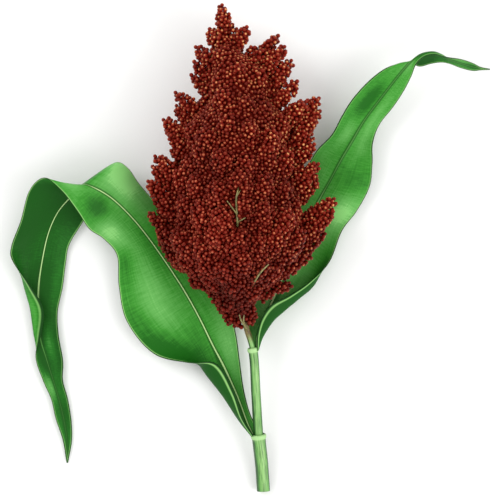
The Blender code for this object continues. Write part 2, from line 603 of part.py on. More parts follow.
def head_place(tree, y, turn, rise):
    """Where the head's skin is on the line that leaves the axis there, raised or sunk by rise, and never under the
    surface it lies on."""
    start_y = y - along(GRAIN_LINES, y)[0] * mean_extent(y)
    start = stalk_point(max(HEAD_BASE + 14.0, min(RACHIS_TIP + 16.0, start_y)))
    if y in HEAD_ENDS:
        out = Vector((0, -1 if y < 0 else 1, 0))
    else:
        aim = stalk_point(y) + Vector((math.cos(turn), 0, math.sin(turn))) * head_extent(y, turn)
        aim.y = y
        out = (aim - start).normalized()
    met = tree.ray_cast(start + out * 200, -out)[0]
    reach = (met - start).length + rise
    if out.z < 0:
        reach = min(reach, start.z / -out.z)
    return start + out * reach


def head_body(name, collection):
    """The head in one closed skin: evenly spread grains over the clusters, each a peak with pits all round it."""
    shape = bmesh.new()
    plain_core(shape)
    for root, tip, radius in all_clusters():
        plain_cluster(shape, root, tip, radius)
    tree = BVHTree.FromBMesh(shape)
    shape.free()
    # The skin starts round and smooth, standing along Z, and its points then move out to the clusters.
    skin = bmesh.new()
    rings = [([skin.verts.new((0, 0, HEAD_ENDS[0]))], 0.0)]
    turn = 0.0
    for y, radius in head_rings():
        count = max(5, round(2 * math.pi * radius / GRAIN_PITCH))
        turn = (turn + math.pi / count) % (2 * math.pi)
        turns = [turn + 2 * math.pi * k / count for k in range(count)]
        rings.append(([skin.verts.new((radius * math.cos(t), radius * math.sin(t), y)) for t in turns], turn))
    rings.append(([skin.verts.new((0, 0, HEAD_ENDS[1]))], 0.0))
    for low, high in zip(rings, rings[1:]):
        zip_rings(skin, low, high)
    grains = set(skin.verts)
    between = list(skin.edges)
    bmesh.ops.recalc_face_normals(skin, faces=skin.faces)
    bmesh.ops.poke(skin, faces=skin.faces)
    bmesh.ops.rotate_edges(skin, edges=between)
    for vert in skin.verts:
        rise = GRAIN_RISE if vert in grains else -PIT_DEPTH
        vert.co = head_place(tree, vert.co.z, math.atan2(vert.co.y, vert.co.x), rise)
    bmesh.ops.scale(skin, vec=(MM, MM, MM), verts=skin.verts)
    bmesh.ops.recalc_face_normals(skin, faces=skin.faces)
    mesh = bpy.data.meshes.new(name)
    skin.to_mesh(mesh)
    skin.free()
    return add_object(name, mesh, collection)


def collar_rows(middle, radius):
    """The raised ring where a blade leaves its sheath: distance along Y, radius."""
    half = COLLAR_WIDTH / 2
    return [
        (middle - half, radius),
        (middle - 0.7 * half, radius + 0.7 * COLLAR_RISE),
        (middle - 0.2 * half, radius + COLLAR_RISE),
        (middle + 0.4 * half, radius + COLLAR_RISE),
        (middle + half, radius + 0.1 * COLLAR_RISE),
    ]


def leaf_body(name, places, sheath, bore, collection, tools):
    """One leaf: the sheath round the stalk, the collar, and the blade that leaves it."""
    made = stalk_tube(name, sheath, 14, collection)
    blade(name + "_blade", places, tools)
    join(made, "UNION", tools)
    stalk_tube(name + "_bore", bore, 12, tools)
    join(made, "DIFFERENCE", tools)
    keep_outer_skin(made)
    return made


def new_collection(name):
    made = bpy.data.collections.new(name)
    bpy.context.scene.collection.children.link(made)
    return made


def main():
    for old in list(bpy.data.objects):
        bpy.data.objects.remove(old)
    plant = new_collection("Sorghum_seed_head")
    tools = new_collection("Cutters")
    tools.hide_render = True
    grain, leaf, stalk = material("grain"), material("leaf"), material("stalk")

    # The head, with a channel for its axis and for the branches that show.
    head = head_body("seed_head", plant)
    axis_pieces("channel", tools, grow=FIT_GAP)
    join(head, "DIFFERENCE", tools, "MANIFOLD")
    keep_outer_skin(head)
    finish(head, grain)

    # The two leaves. Each bore runs on past its collar, so that the blade clears what comes out of the sheath.
    lower_sheath = LOWER_SHEATH + collar_rows(LOWER_COLLAR, LOWER_SHEATH[-1][1])
    lower_bore = LOWER_BORE_ENDS[0] + LOWER_BORE + LOWER_BORE_ENDS[1]
    lower = leaf_body("lower_leaf", LOWER_BLADE, lower_sheath, lower_bore, plant, tools)
    finish(lower, leaf)
    upper_sheath = UPPER_SHEATH + collar_rows(UPPER_COLLAR, UPPER_SHEATH[-1][1])
    upper = leaf_body("upper_leaf", UPPER_BLADE, upper_sheath, UPPER_BORE, plant, tools)
    finish(upper, leaf)

    # The stalk and the branches that show.
    pieces = axis_pieces("culm", plant)
    culm = pieces[0]
    culm.name = "culm_and_branches"
    for branch in pieces[1:]:
        plant.objects.unlink(branch)
        tools.objects.link(branch)
    join(culm, "UNION", tools)
    finish(culm, stalk)


main()
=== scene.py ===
import math
import random

import bmesh
import bpy
import numpy as np
from mathutils import Matrix, Vector
from mathutils.bvhtree import BVHTree


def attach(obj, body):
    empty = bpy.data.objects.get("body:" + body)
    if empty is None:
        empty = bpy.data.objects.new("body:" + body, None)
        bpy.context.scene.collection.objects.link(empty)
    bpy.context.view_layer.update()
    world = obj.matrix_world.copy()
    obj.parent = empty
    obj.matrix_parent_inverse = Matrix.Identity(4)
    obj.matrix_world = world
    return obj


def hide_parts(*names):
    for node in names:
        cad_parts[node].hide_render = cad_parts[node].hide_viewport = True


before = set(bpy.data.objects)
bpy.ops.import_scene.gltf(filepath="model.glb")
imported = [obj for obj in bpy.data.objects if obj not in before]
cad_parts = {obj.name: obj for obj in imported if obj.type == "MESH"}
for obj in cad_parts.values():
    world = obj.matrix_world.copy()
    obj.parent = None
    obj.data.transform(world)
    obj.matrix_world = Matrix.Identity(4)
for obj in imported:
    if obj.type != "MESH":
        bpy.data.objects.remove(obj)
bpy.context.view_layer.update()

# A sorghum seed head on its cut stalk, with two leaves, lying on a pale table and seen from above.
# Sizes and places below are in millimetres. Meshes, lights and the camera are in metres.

mm = 0.001
up = Vector((0, 0, 1))
closeGap = 0.00001  # points nearer than this are one point, in metres

# The stalk's middle line: distance along Y, then X and Z.
stalkLine = [
    (-249.3, 21.2, 6), (-225, 19.5, 12.5), (-199.8, 16.8, 19.5), (-162, 14.4, 28.5), (-121.5, 11.7, 36.5),
    (-103.5, 6.3, 39.5), (-81, 0, 43), (-40.5, -1.8, 46.5), (4.5, -2.7, 49), (58.5, -6.3, 50.5),
    (112.5, -9.9, 51), (176, -15.5, 51),
]


def along(rows, t):
    # the rest of the row at t, from a smooth curve through rows whose first column is t
    last = len(rows) - 2
    i = min(last, max(0, sum(1 for row in rows if row[0] <= t) - 1))
    step = rows[i + 1][0] - rows[i][0]
    s = min(1.0, max(0.0, (t - rows[i][0]) / step))

    def slope(k, column):
        low, high = rows[max(0, k - 1)], rows[min(len(rows) - 1, k + 1)]
        return (high[column] - low[column]) / (high[0] - low[0])

    values = []
    for column in range(1, len(rows[0])):
        a, b = rows[i][column], rows[i + 1][column]
        fromA, toB = slope(i, column) * step, slope(i + 1, column) * step
        values.append(
            (2 * s**3 - 3 * s**2 + 1) * a
            + (s**3 - 2 * s**2 + s) * fromA
            + (3 * s**2 - 2 * s**3) * b
            + (s**3 - s**2) * toB
        )
    return values


def stalkPoint(y):
    x, z = along(stalkLine, y)
    return Vector((x, y, z))


def addObject(name, data):
    made = bpy.data.objects.new(name, data)
    bpy.context.scene.collection.objects.link(made)
    return made


def meshFrom(name, shape):
    mesh = bpy.data.meshes.new(name)
    shape.to_mesh(mesh)
    shape.free()
    return mesh


def newPiece(name, shape, materials):
    mesh = meshFrom(name, shape)
    mesh.shade_smooth()
    for made in materials:
        mesh.materials.append(made)
    return addObject(name, mesh)


def addTube(shape, path, sides, layers):
    # a tube with closed ends or a closed wall, rolled up from a grid
    # each row of its path is centre, direction, radius, and one value for each layer
    before = set(shape.verts)
    steps = len(path) - 1
    made = bmesh.ops.create_grid(shape, x_segments=sides, y_segments=steps, size=1, calc_uvs=True)["verts"]
    for vert in made:
        turn = math.pi * (vert.co.x + 1)
        centre, direction, radius, *values = path[round((vert.co.y + 1) / 2 * steps)]
        side = direction.cross(up).normalized()
        other = side.cross(direction)
        vert.co = (centre + (side * math.cos(turn) + other * math.sin(turn)) * radius) * mm
        for layer, value in zip(layers, values):
            vert[layer] = value
    bmesh.ops.remove_doubles(shape, verts=made, dist=closeGap)
    skin = [face for face in shape.faces if not any(vert in before for vert in face.verts)]
    bmesh.ops.recalc_face_normals(shape, faces=skin)


# Helpers for materials


def isSocket(value):
    return isinstance(value, bpy.types.NodeSocket)


def setInput(socket, value):
    # links a socket, or sets a number or a colour
    if isSocket(value):
        socket.id_data.links.new(value, socket)
    elif socket.type == "RGBA":
        socket.default_value = (*value, 1)
    else:
        socket.default_value = value


def newNode(kind, inputs, **options):
    # inputs are by name or number, and at least one of them is a socket
    tree = next(value.id_data for value in inputs.values() if isSocket(value))
    made = tree.nodes.new(kind)
    for key, value in options.items():
        setattr(made, key, value)
    for key, value in inputs.items():
        setInput(made.inputs[key], value)
    return made


def newMaterial(name, roughness, specular=0.5, gleam=(1, 1, 1)):
    made = bpy.data.materials.new(name)
    made.use_nodes = True
    shader = made.node_tree.nodes["Principled BSDF"]
    for key, value in (("Roughness", roughness), ("Specular IOR Level", specular), ("Specular Tint", gleam)):
        setInput(shader.inputs[key], value)
    return made, made.node_tree, shader


def calc(operation, *values):
    return newNode("ShaderNodeMath", dict(enumerate(values)), operation=operation).outputs[0]


def plus(first, second):
    return calc("ADD", first, second)


def minus(first, second):
    return calc("SUBTRACT", first, second)


def times(first, second):
    return calc("MULTIPLY", first, second)


def blend(share, first, second, way="MIX"):
    inputs = {0: share, 6: first, 7: second}
    return newNode("ShaderNodeMix", inputs, data_type="RGBA", blend_type=way).outputs[2]


def ramp(value, stops):
    made = newNode("ShaderNodeValToRGB", {0: value})
    points = made.color_ramp.elements
    while len(points) < len(stops):
        points.new(0.5)
    for point, (place, colour) in zip(points, stops):
        point.position = place
        point.color = (*colour, 1)
    return made.outputs[0]


def span(value, low, high, fromLow=0.0, toHigh=1.0):
    inputs = dict(enumerate((value, low, high, fromLow, toHigh)))
    return newNode("ShaderNodeMapRange", inputs, interpolation_type="SMOOTHSTEP").outputs[0]


def vector(*values):
    return newNode("ShaderNodeCombineXYZ", dict(enumerate(values))).outputs[0]


def split(value):
    return newNode("ShaderNodeSeparateXYZ", {0: value}).outputs


def cloud(place, scale, detail=3.0, rough=0.55):
    inputs = {"Vector": place, "Scale": scale, "Detail": detail, "Roughness": rough}
    return newNode("ShaderNodeTexNoise", inputs).outputs["Fac"]


def streaks(across, distance, scales, start=0.0, rough=0.55):
    # noise that is stretched lengthwise or crosswise
    place = vector(times(across, scales[0]), times(distance, scales[1]), start)
    return cloud(place, 1.0, 3.0, rough)


def bump(shader, height, strength, depth):
    made = newNode("ShaderNodeBump", {"Strength": strength, "Distance": depth, "Height": height})
    setInput(shader.inputs["Normal"], made.outputs[0])


def attribute(tree, name, output="Fac"):
    made = tree.nodes.new("ShaderNodeAttribute")
    made.attribute_name = name
    return made.outputs[output]


def attributes(tree, *names):
    return [attribute(tree, name) for name in names]


def objectPlace(tree, scale=(1, 1, 1)):
    place = tree.nodes.new("ShaderNodeTexCoord").outputs["Object"]
    return newNode("ShaderNodeMapping", {"Vector": place, "Scale": scale}).outputs[0]


# Camera, light and table

stageSettings = {
    "over": (0.009, -0.0315),  # the camera looks straight down on this point
    "cameraHeight": 10.05,
    "lens": 800.0,
    "farthest": 20.0,  # nothing beyond this is drawn
    "tableSize": 6.0,
    "tableTop": -0.0004,
    "tableColour": (0.92, 0.92, 0.91),
    "tableMottle": 0.985,  # the table's darker parts, as a share of its colour
    "tableRoughness": 0.8,
    "tableSpecular": 0.2,
    "skyStrength": 0.97,
    "keyPlace": (-1.3, 0.9, 2.0),
    "keySize": 1.3,
    "keyPower": 18.0,
    "fillPlace": (1.6, -0.8, 1.6),
    "fillSize": 1.6,
    "fillPower": 20.0,
}


def addCamera(settings):
    lens = bpy.data.cameras.new("camera")
    lens.lens = settings["lens"]
    lens.clip_end = settings["farthest"]
    camera = addObject("camera", lens)
    camera.location = (*settings["over"], settings["cameraHeight"])
    bpy.context.scene.camera = camera


def addSoftLight(name, place, size, power):
    lamp = bpy.data.lights.new(name, "AREA")
    lamp.shape = "DISK"
    lamp.size = size
    lamp.energy = power
    made = addObject(name, lamp)
    made.location = place
    made.rotation_euler = (-Vector(place)).to_track_quat("-Z", "Y").to_euler()


def addStage(settings):
    world = bpy.data.worlds.new("paleRoom")
    world.use_nodes = True
    sky = world.node_tree.nodes["Background"]
    sky.inputs["Color"].default_value = (1, 1, 1, 1)
    sky.inputs["Strength"].default_value = settings["skyStrength"]
    bpy.context.scene.world = world
    bpy.context.scene.view_settings.view_transform = "Standard"
    paint, tree, shader = newMaterial("tablePaint", settings["tableRoughness"], settings["tableSpecular"])
    low = [settings["tableMottle"] * part for part in settings["tableColour"]]
    colour = blend(cloud(objectPlace(tree), 60.0, 4.0), low, settings["tableColour"])
    setInput(shader.inputs["Base Color"], colour)
    sheet = bmesh.new()
    bmesh.ops.create_grid(sheet, x_segments=8, y_segments=8, size=settings["tableSize"] / 2)
    bmesh.ops.translate(sheet, vec=(0, 0, settings["tableTop"]), verts=sheet.verts)
    newPiece("table", sheet, [paint])
    addSoftLight("keyLight", settings["keyPlace"], settings["keySize"], settings["keyPower"])
    addSoftLight("fillLight", settings["fillPlace"], settings["fillSize"], settings["fillPower"])


addCamera(stageSettings)
addStage(stageSettings)
print("Camera, light and table are in place")


# The seed head: its outline, and the seed clusters that stand out from its axis

headSettings = {
    "base": -100.0,  # where the head starts along Y
    "axisTip": 150.0,
    "rows": (-86.0, 160.0),
    "rowPitch": 24.0,
    "clusterPitch": 0.78,  # how many clusters stand in a row, for each row pitch of its half girth
    "firstTurn": 20.0,  # where a row starts, in degrees round the head from its right side
    "turns": 140.0,  # how many degrees it covers above, and again below
    "rowTurns": (0.5, 0.22, 0.78),  # one row after another is turned, so that the clusters interlock
    "tipShifts": (0.0, 6.0, -6.0),
    "tipReaches": (1.0, 0.94, 0.97),
    "clusterRadius": 12.0,
    "smallRadius": (5.5, 0.12),  # a cluster's radius where the head is thin, and its growth with the reach
    "clusterLength": 50.0,
    "earShape": (0.16, 1.25, 0.62),  # a cluster's thickness at its root, where it is thickest, fullness
    "outlineRises": (12.0, 5.0, 8.0),  # how far the tips of the outline's clusters are above the axis
    "footTop": -60.0,  # below this place along Y, all of them are as far above it as the next number
    "footRise": 9.0,
    "branchStart": 16.0,
    "rootRange": (-102.0, 138.0),  # where clusters may leave the axis, along Y
    "rootShare": 0.95,  # how near to the axis a cluster may reach
    "coreRange": (-96.0, 156.0),
    "coreShare": 0.83,  # how far out the core reaches, under the clusters
    "bedSink": 2.8,  # the bed lies this far under the clusters' plain surface
    "bedVoxel": 2.4,
    "bedFills": 7,  # how many times the bed's valleys are filled a little
    "bedEase": 0.6,
    "bedFoot": 0.6,  # the bed's lowest part is this far under the middle of the lowest grains
    "bedColour": (0.12, 0.0052, 0.0026),
    "bedLight": (0.18, 0.011, 0.0052),
    "bedRoughness": 0.9,
    "bedSpecular": 0.05,
}

# How far the middle of the head reaches, behind the clusters that make its outline.
# Distance along Y, half width to the left and right, half depth upwards and downwards.
headOutline = [
    (-101, 4, 4, 5, 5), (-90, 15, 8.5, 17, 9), (-70, 30, 20, 37, 19), (-45, 51, 49, 52, 34),
    (-10, 70, 70, 62, 50), (30, 60, 62, 63, 50), (65, 48, 60, 58, 50), (85, 45, 62, 53, 48),
    (102, 20, 46, 47, 43), (130, 17, 42, 36, 33), (140, 12, 24, 31.5, 29), (149, 9, 13, 26.5, 24.5),
    (160, 8, 9, 20, 18), (182, 4, 4, 8, 8),
]

# Seed clusters that make the outline, seen from above: tip X and Y, cluster radius, length.
outlineClusters = [
    (-16.2, 189.5, 5.5, 60), (-18, 170, 9.5, 60), (-6, 172, 4, 26), (6.8, 169.5, 5, 46), (2, 159, 3.6, 26),
    (13.8, 151, 4, 26), (20.5, 148, 4.5, 28), (34.8, 161.5, 5, 50), (26.5, 149.5, 4.5, 32),
    (40.5, 151.5, 6, 40), (46.5, 139.5, 5.5, 36), (40.5, 127.5, 5.5, 32), (52, 120.5, 5, 34),
    (44.5, 112, 4.5, 28), (50, 97, 6, 32), (60, 102.5, 7.5, 42), (71.5, 105.5, 7.5, 52), (72, 94, 6.5, 42),
    (68.5, 88, 5, 36), (65, 74, 5.5, 36), (67, 64.5, 5, 32), (71, 46.5, 6.5, 44), (70, 32.5, 5.5, 42),
    (85.5, 15.5, 7, 58), (84, 4, 5.5, 46), (76, -11.5, 7.5, 44), (64.5, -33, 6.5, 42), (56, -42, 6, 36),
    (51.5, -49, 5, 34), (47, -64, 5, 38), (30, -72, 5.5, 28), (20.5, -72.5, 4.5, 24), (13, -83.5, 5, 18),
    (13, -95.5, 5.5, 20), (-27.5, 168, 5.5, 30), (-40.5, 152, 5, 42), (-31, 147.5, 6.5, 42),
    (-41.5, 138.5, 6.5, 36), (-44.5, 127, 4.5, 38), (-33.5, 118, 4.5, 30), (-34, 108, 5, 28),
    (-41.5, 101.5, 5.5, 40), (-58.5, 111, 4.8, 48), (-58, 98.5, 7, 42), (-69, 86, 6.5, 44),
    (-64.5, 73.5, 6.5, 42), (-58.5, 65, 5.5, 32), (-62.5, 58.5, 4.5, 36), (-77.5, 53.5, 6, 48),
    (-79, 44, 6.5, 42), (-83.5, 30.5, 7, 50), (-77, 18.5, 7, 42), (-75, 9, 6.5, 40), (-82, 2.5, 5, 44),
    (-75.5, -9.5, 8, 44), (-73, -21, 7.5, 42), (-67.5, -33, 7.5, 42), (-54.5, -41, 5.5, 34),
    (-49, -50.5, 6.5, 34), (-46.5, -58.5, 6.5, 32), (-37, -64, 6, 28), (-30.5, -68.5, 6, 28),
    (-24.5, -78, 6, 24), (-20, -85.5, 5.5, 20), (-13.5, -95.5, 6, 20), (-4, -99.5, 5, 14), (58, 44, 7, 36),
    (50, 36, 7, 30),
]

# The clusters it lies on, which the table has pressed flat: root, tip, radius.
restingClusters = [
    ((-2, -36, 14), (0, 32, 5), 13),
    ((-12, -24, 14), (-22, 36, 5), 12),
    ((10, -20, 14), (20, 40, 5), 12),
    ((0, 8, 14), (-2, 66, 6), 12),
]

# How far the branches climb for each millimetre out: distance along Y of the tip, climb.
branchClimb = [(-103, -0.3), (-75, -0.1), (-50, 0.2), (-20, 0.6), (0, 0.75), (193, 0.75)]


def headExtent(y, turn):
    left, right, above, below = along(headOutline, y)
    c, s = math.cos(turn), math.sin(turn)
    wide = right if c > 0 else left
    deep = above if s > 0 else below
    return wide * deep / math.hypot(deep * c, wide * s)


def clusterRoot(tip, length):
    base, axisTip = headSettings["base"], headSettings["axisTip"]
    centre = stalkPoint(max(base, min(tip.y, axisTip)))
    out = Vector((tip.x - centre.x, 0, tip.z - centre.z))
    climb = along(branchClimb, tip.y)[0] * (out.length + headSettings["branchStart"])
    lowest, highest = headSettings["rootRange"]
    start = stalkPoint(max(lowest, min(highest, tip.y - climb)))
    return tip + (start - tip).normalized() * min(length, headSettings["rootShare"] * (start - tip).length)


def allClusters(settings):
    # every seed cluster, as its root on the axis, its tip, and its radius
    clusters = []
    for number, (x, y, radius, length) in enumerate(outlineClusters):
        centre = stalkPoint(min(y, settings["axisTip"]))
        rise = settings["footRise"] if y < settings["footTop"] else settings["outlineRises"][number % 3]
        clusters.append((Vector((x, y, centre.z + rise)), radius, length))
    (y, last), row = settings["rows"], 0
    smallest, growth = settings["smallRadius"]
    while y < last:
        around = math.pi * (headExtent(y, math.pi / 2) + headExtent(y, 0.0)) / 2
        count = max(1, round(around * settings["clusterPitch"] / settings["rowPitch"]))
        for side in (1, -1):
            for k in range(count):
                share = (k + settings["rowTurns"][row % 3]) / count
                turn = math.radians(settings["firstTurn"] + settings["turns"] * share) * side
                radius = min(settings["clusterRadius"], smallest + growth * headExtent(y, turn))
                tipY = y + settings["tipShifts"][(k + row) % 3]
                out = headExtent(tipY, turn) * settings["tipReaches"][(2 * k + row) % 3]
                way = Vector((math.cos(turn), 0, math.sin(turn)))
                tip = stalkPoint(min(tipY, settings["axisTip"])) + way * out
                tip.y = tipY
                tip.z = max(tip.z, radius * 0.5)
                clusters.append((tip, radius, settings["clusterLength"]))
        y += settings["rowPitch"]
        row += 1
    standing = [(clusterRoot(tip, length), tip, radius) for tip, radius, length in clusters]
    return standing + [(Vector(root), Vector(tip), radius) for root, tip, radius in restingClusters]


def clusterShare(t):
    # a cluster's radius along its length, as a share of its greatest: t is 0 at the root and 1 at the tip
    start, thickest, fullness = headSettings["earShape"]
    return max(0.0, math.sin(math.pi * min(1.0, start + (1 - start) * t) ** thickest)) ** fullness


def plainCluster(root, tip, radius):
    # a seed cluster without its grains, as a mesh: a smooth ear, thin at its root and pointed at its tip
    axis = (tip - root).normalized()
    side = axis.cross(up).normalized()
    other = axis.cross(side)
    shape = bmesh.new()
    bmesh.ops.create_uvsphere(shape, u_segments=16, v_segments=14, radius=1)
    for vert in shape.verts:
        share = (vert.co.z + 1) / 2
        flat = Vector((vert.co.x, vert.co.y))
        out = flat / max(0.0001, flat.length) * radius * clusterShare(share)
        vert.co = (root.lerp(tip, share) + side * out.x + other * out.y) * mm
    return meshFrom("plainCluster", shape)


def addPlainCore(shape, settings):
    low, high = settings["coreRange"]
    for vert in bmesh.ops.create_uvsphere(shape, u_segments=32, v_segments=32, radius=1)["verts"]:
        y = low + (high - low) * (1 - math.acos(max(-1.0, min(1.0, vert.co.z))) / math.pi)
        turn = math.atan2(vert.co.y, vert.co.x)
        onAxis = math.hypot(vert.co.x, vert.co.y) < 0.001
        reach = 0.0 if onAxis else headExtent(y, turn) * settings["coreShare"] - settings["bedSink"]
        vert.co = (stalkPoint(y) + Vector((math.cos(turn), 0, math.sin(turn))) * max(0.0, reach)) * mm


def bedMaterial(settings):
    # the dark stems and husks seen between the grains
    made, tree, shader = newMaterial("darkHusks", settings["bedRoughness"], settings["bedSpecular"])
    patches = cloud(objectPlace(tree), 420.0, 4.0)
    colour = ramp(patches, [(0.35, settings["bedColour"]), (0.75, settings["bedLight"])])
    setInput(shader.inputs["Base Color"], colour)
    bump(shader, patches, 0.5, 0.001)
    return made


def seedHeadBed(clusters, settings):
    # one skin over the core and the clusters, with its places for grains and a tree for measuring depth
    shape = bmesh.new()
    addPlainCore(shape, settings)
    sink = settings["bedSink"]
    for root, tip, radius in clusters:
        ear = plainCluster(root, tip - (tip - root).normalized() * sink, radius - sink)
        shape.from_mesh(ear)
        bpy.data.meshes.remove(ear)
    rough = newPiece("seedHeadBedRough", shape, [])
    remesh = rough.modifiers.new("oneSkin", "REMESH")
    remesh.mode = "VOXEL"
    remesh.voxel_size = settings["bedVoxel"] * mm
    bpy.context.view_layer.update()
    mesh = bpy.data.meshes.new_from_object(rough.evaluated_get(bpy.context.evaluated_depsgraph_get()))
    bpy.data.objects.remove(rough)
    skin = bmesh.new()
    skin.from_mesh(mesh)
    ease = {"factor": settings["bedEase"], "use_axis_x": True, "use_axis_y": True, "use_axis_z": True}
    for _ in range(settings["bedFills"]):
        before = [(vert.co.copy(), vert.normal.copy()) for vert in skin.verts]
        bmesh.ops.smooth_vert(skin, verts=skin.verts, **ease)
        for vert, (old, normal) in zip(skin.verts, before):
            vert.co = old + normal * max(0.0, (vert.co - old).dot(normal))
        skin.normal_update()
    lowest = (grainSettings["radius"] - settings["bedFoot"]) * mm
    for vert in skin.verts:
        vert.co.z = max(vert.co.z, lowest)
    skin.normal_update()
    places = [(vert.co / mm, vert.normal.copy()) for vert in skin.verts]
    places += [(face.calc_center_median() / mm, face.normal.copy()) for face in skin.faces]
    surface = BVHTree.FromBMesh(skin)
    return newPiece("seedHeadBed", skin, [bedMaterial(settings)]), places, surface


# Grains: bunches all over each cluster, then more between the bunches and on the bed

grainSettings = {
    "radius": 1.95,
    "stretch": 1.1,  # longer than wide
    "pitch": 3.65,
    "closest": 2.85,
    "buried": 1.4,  # a grain deeper than this under another cluster's surface is left out
    "sunk": 0.4,  # so is a grain deeper than this under the bed
    "scatter": 0.3,
    "bunchPitch": 7.2,
    "bunchRadius": 3.4,
    "bunchRise": (0.3, 2.0),  # how far the tips of the bunches stand out of a cluster
    "tipRise": -1.2,  # the bunch at a cluster's tip is drawn in
    "bunchSize": (0.85, 1.1),
    "tipSize": 0.8,
    "bunchLength": 6.5,
    "bunchLean": 0.7,
    "bunchStray": 0.12,
    "between": -1.1,  # the grains between the bunches lie lower
    "upward": 0.35,  # how much a grain leans towards its cluster's tip
    "pieces": 5,
    "seed": 23,
    "sizes": (0.9, 1.06),  # smallest and largest grain, as a share of the radius
    "twigRoom": 0.85,  # how far grains stay from a twig, as a share of the radius
    "roughness": (0.3, 0.46),
    "specular": 0.26,
    "gleam": (1.0, 0.55, 0.36),
    "husk": (0.12, 0.0045, 0.002),
    "body": (0.165, 0.006, 0.0028),
    "brick": (0.22, 0.015, 0.0072),
    # ember, the crown colour and gold are colours of the painted highlight at each grain's tip
    "ember": (0.34, 0.038, 0.026),
    "crownHighlight": (0.6, 0.175, 0.078),
    "gold": (0.66, 0.29, 0.105),
    "tip": (0.1, 0.012, 0.005),
    "huskSplit": 0.3,
    "huskEdge": (-0.12, 0.06),  # edges are heights on a grain, from -1 at its root to 1 at its tip
    # where the painted highlight starts and where it is full
    "highlightEdge": (0.87, 1.02),
    "tipEdge": (0.985, 0.999),
    "wander": 0.22,
    "patchScale": 34.0,
    "mottleScale": 900.0,
    "plainShade": 0.38,
    "toneShade": 0.3,  # some grains are darker than others
    "patchShade": 0.6,  # so are whole sprays
    # painted shade: the valleys between clusters are darker, where shade falls
    "valleyShade": 0.22,  # and the valleys between clusters
    "deepening": 1.7,  # green and blue fall off faster than red in the darker ones
    # painted light, lighter towards the head's tip
    "paintedLightAndShade": (0.25, 50.0, 150.0),  # how much lighter the tip is, the middle along Y, and the way from there
    # these tint the painted highlights from ember red to gold
    "goldPlain": 0.42,
    "goldTip": (10.0, 230.0),  # gold grows from this place along Y, and is full after this way
    "goldFoot": (-32.0, 110.0),  # and shrinks below this place
    "goldSides": (-0.1, 140.0),  # the least on the left side, and the way to full gold on the right
}

# Painted light and painted shade on parts of the head: X, Y, reach, strength.
paintedLightPatches = [
    (-26, -5, 17, 0.24), (-22, -34, 16, 0.22), (-47, 22, 14, 0.12), (30, -18, 14, 0.2), (52, -8, 15, 0.3),
    (-74, 38, 18, 0.24), (60, 99, 22, 0.22), (80, 6, 18, 0.38), (54, 52, 20, 0.34), (62, 24, 12, 0.16),
    (42, 140, 18, 0.12), (-68, -20, 20, -0.16), (-20, 38, 18, -0.16), (4, -6, 10, -0.22),
    (16, -32, 9, -0.18), (46, 18, 11, -0.16), (8, 108, 18, -0.12), (-4, 66, 12, 0.1), (-58, 84, 14, 0.1),
]

# Side branches that show between the seed clusters, from the head's axis outwards: X, Y, Z and radius.
shownTwigs = [
    [
        (-2, -48, 46, 1.5), (-2.6, -30, 70, 1.4), (-2.4, -14, 92.5, 1.3), (-2.4, -6.7, 101.5, 1.25),
        (-2.7, 2, 105.3, 1.2), (-3.4, 13.5, 108, 1.1), (-2.5, 19, 108.6, 1), (-1.2, 25, 105.8, 0.7),
    ],
    [(-2.4, -7.5, 100.5, 0.9), (-1.2, -6, 102, 0.9), (1.5, -4.5, 103.8, 0.8), (4.5, -2.7, 103.8, 0.6)],
    [
        (-2.8, 0.5, 104.6, 0.9), (-5.6, 4.7, 105.6, 0.9), (-8.5, 8.5, 106.7, 0.8),
        (-11.3, 12.2, 107.8, 0.6),
    ],
    [(-3.1, 16, 108.4, 0.9), (-1.6, 19, 107.8, 0.8), (0.6, 22, 106, 0.6)],
    [
        (0, -82, 43, 1.4), (5, -75, 53, 1.3), (12, -62, 74, 1.2), (15.9, -55.3, 87.5, 1.1),
        (19, -51, 91.8, 1), (25.4, -44.6, 93, 0.7),
    ],
    [(6.3, -104, 40.5, 1.3), (4.2, -99.5, 51.5, 1.2), (1.2, -95, 59, 1), (-0.5, -90, 64.8, 0.7)],
    [(3.4, -98, 53.5, 1), (3.2, -94, 60.5, 0.9), (3.6, -90, 66.5, 0.6)],
]
twigDepth = 9.0  # how far under a twig grains may lie
twigShownFrom = [(-110, 52), (-88, 52), (-76, 84), (100, 84)]  # distance along Y, height that they show above
twigSteps = [
    (min(a[2], b[2]) - twigDepth, Vector(a[:2]), Vector(b[:2]) - Vector(a[:2]))
    for twig in shownTwigs
    for a, b in zip(twig, twig[1:])
    if min(a[2], b[2]) > along(twigShownFrom, a[1])[0]
]


def reachShares(points):
    # how far each point is from the head's axis, as a share of how far the head reaches there, and that reach
    steps = np.arange(headOutline[0][0], headOutline[-1][0], 1.0)
    outline = np.array([along(headOutline, y) for y in steps])
    middle = np.array([along(stalkLine, min(y, headSettings["axisTip"])) for y in steps])
    y = points[:, 1]
    left, right, above, below = (np.interp(y, steps, outline[:, k]) for k in range(4))
    x = points[:, 0] - np.interp(y, steps, middle[:, 0])
    z = points[:, 2] - np.interp(y, steps, middle[:, 1])
    shares = np.hypot(x / np.where(x > 0, right, left), z / np.where(z > 0, above, below))
    return shares, np.hypot(x, z) / np.maximum(shares, 0.01)


def depthInOthers(points, clusters, own):
    # how deep each point lies under the surface of the clusters it doesn't belong to
    deepest = np.full(len(points), -100.0)
    steps = np.linspace(0.0, 1.0, 60)
    profile = np.array([clusterShare(t) for t in steps])
    for number, (root, tip, radius) in enumerate(clusters):
        start, end = np.array(root), np.array(tip)
        length = np.linalg.norm(end - start)
        axis = (end - start) / length
        t = (points - start) @ axis / length
        away = np.linalg.norm(points - start - np.outer(t * length, axis), axis=1)
        share = np.where((t > 0) & (t < 1), np.interp(t, steps, profile), 0.0)
        depth = np.where(own == number, -100.0, share * radius - away)
        deepest = np.maximum(deepest, depth)
    return deepest


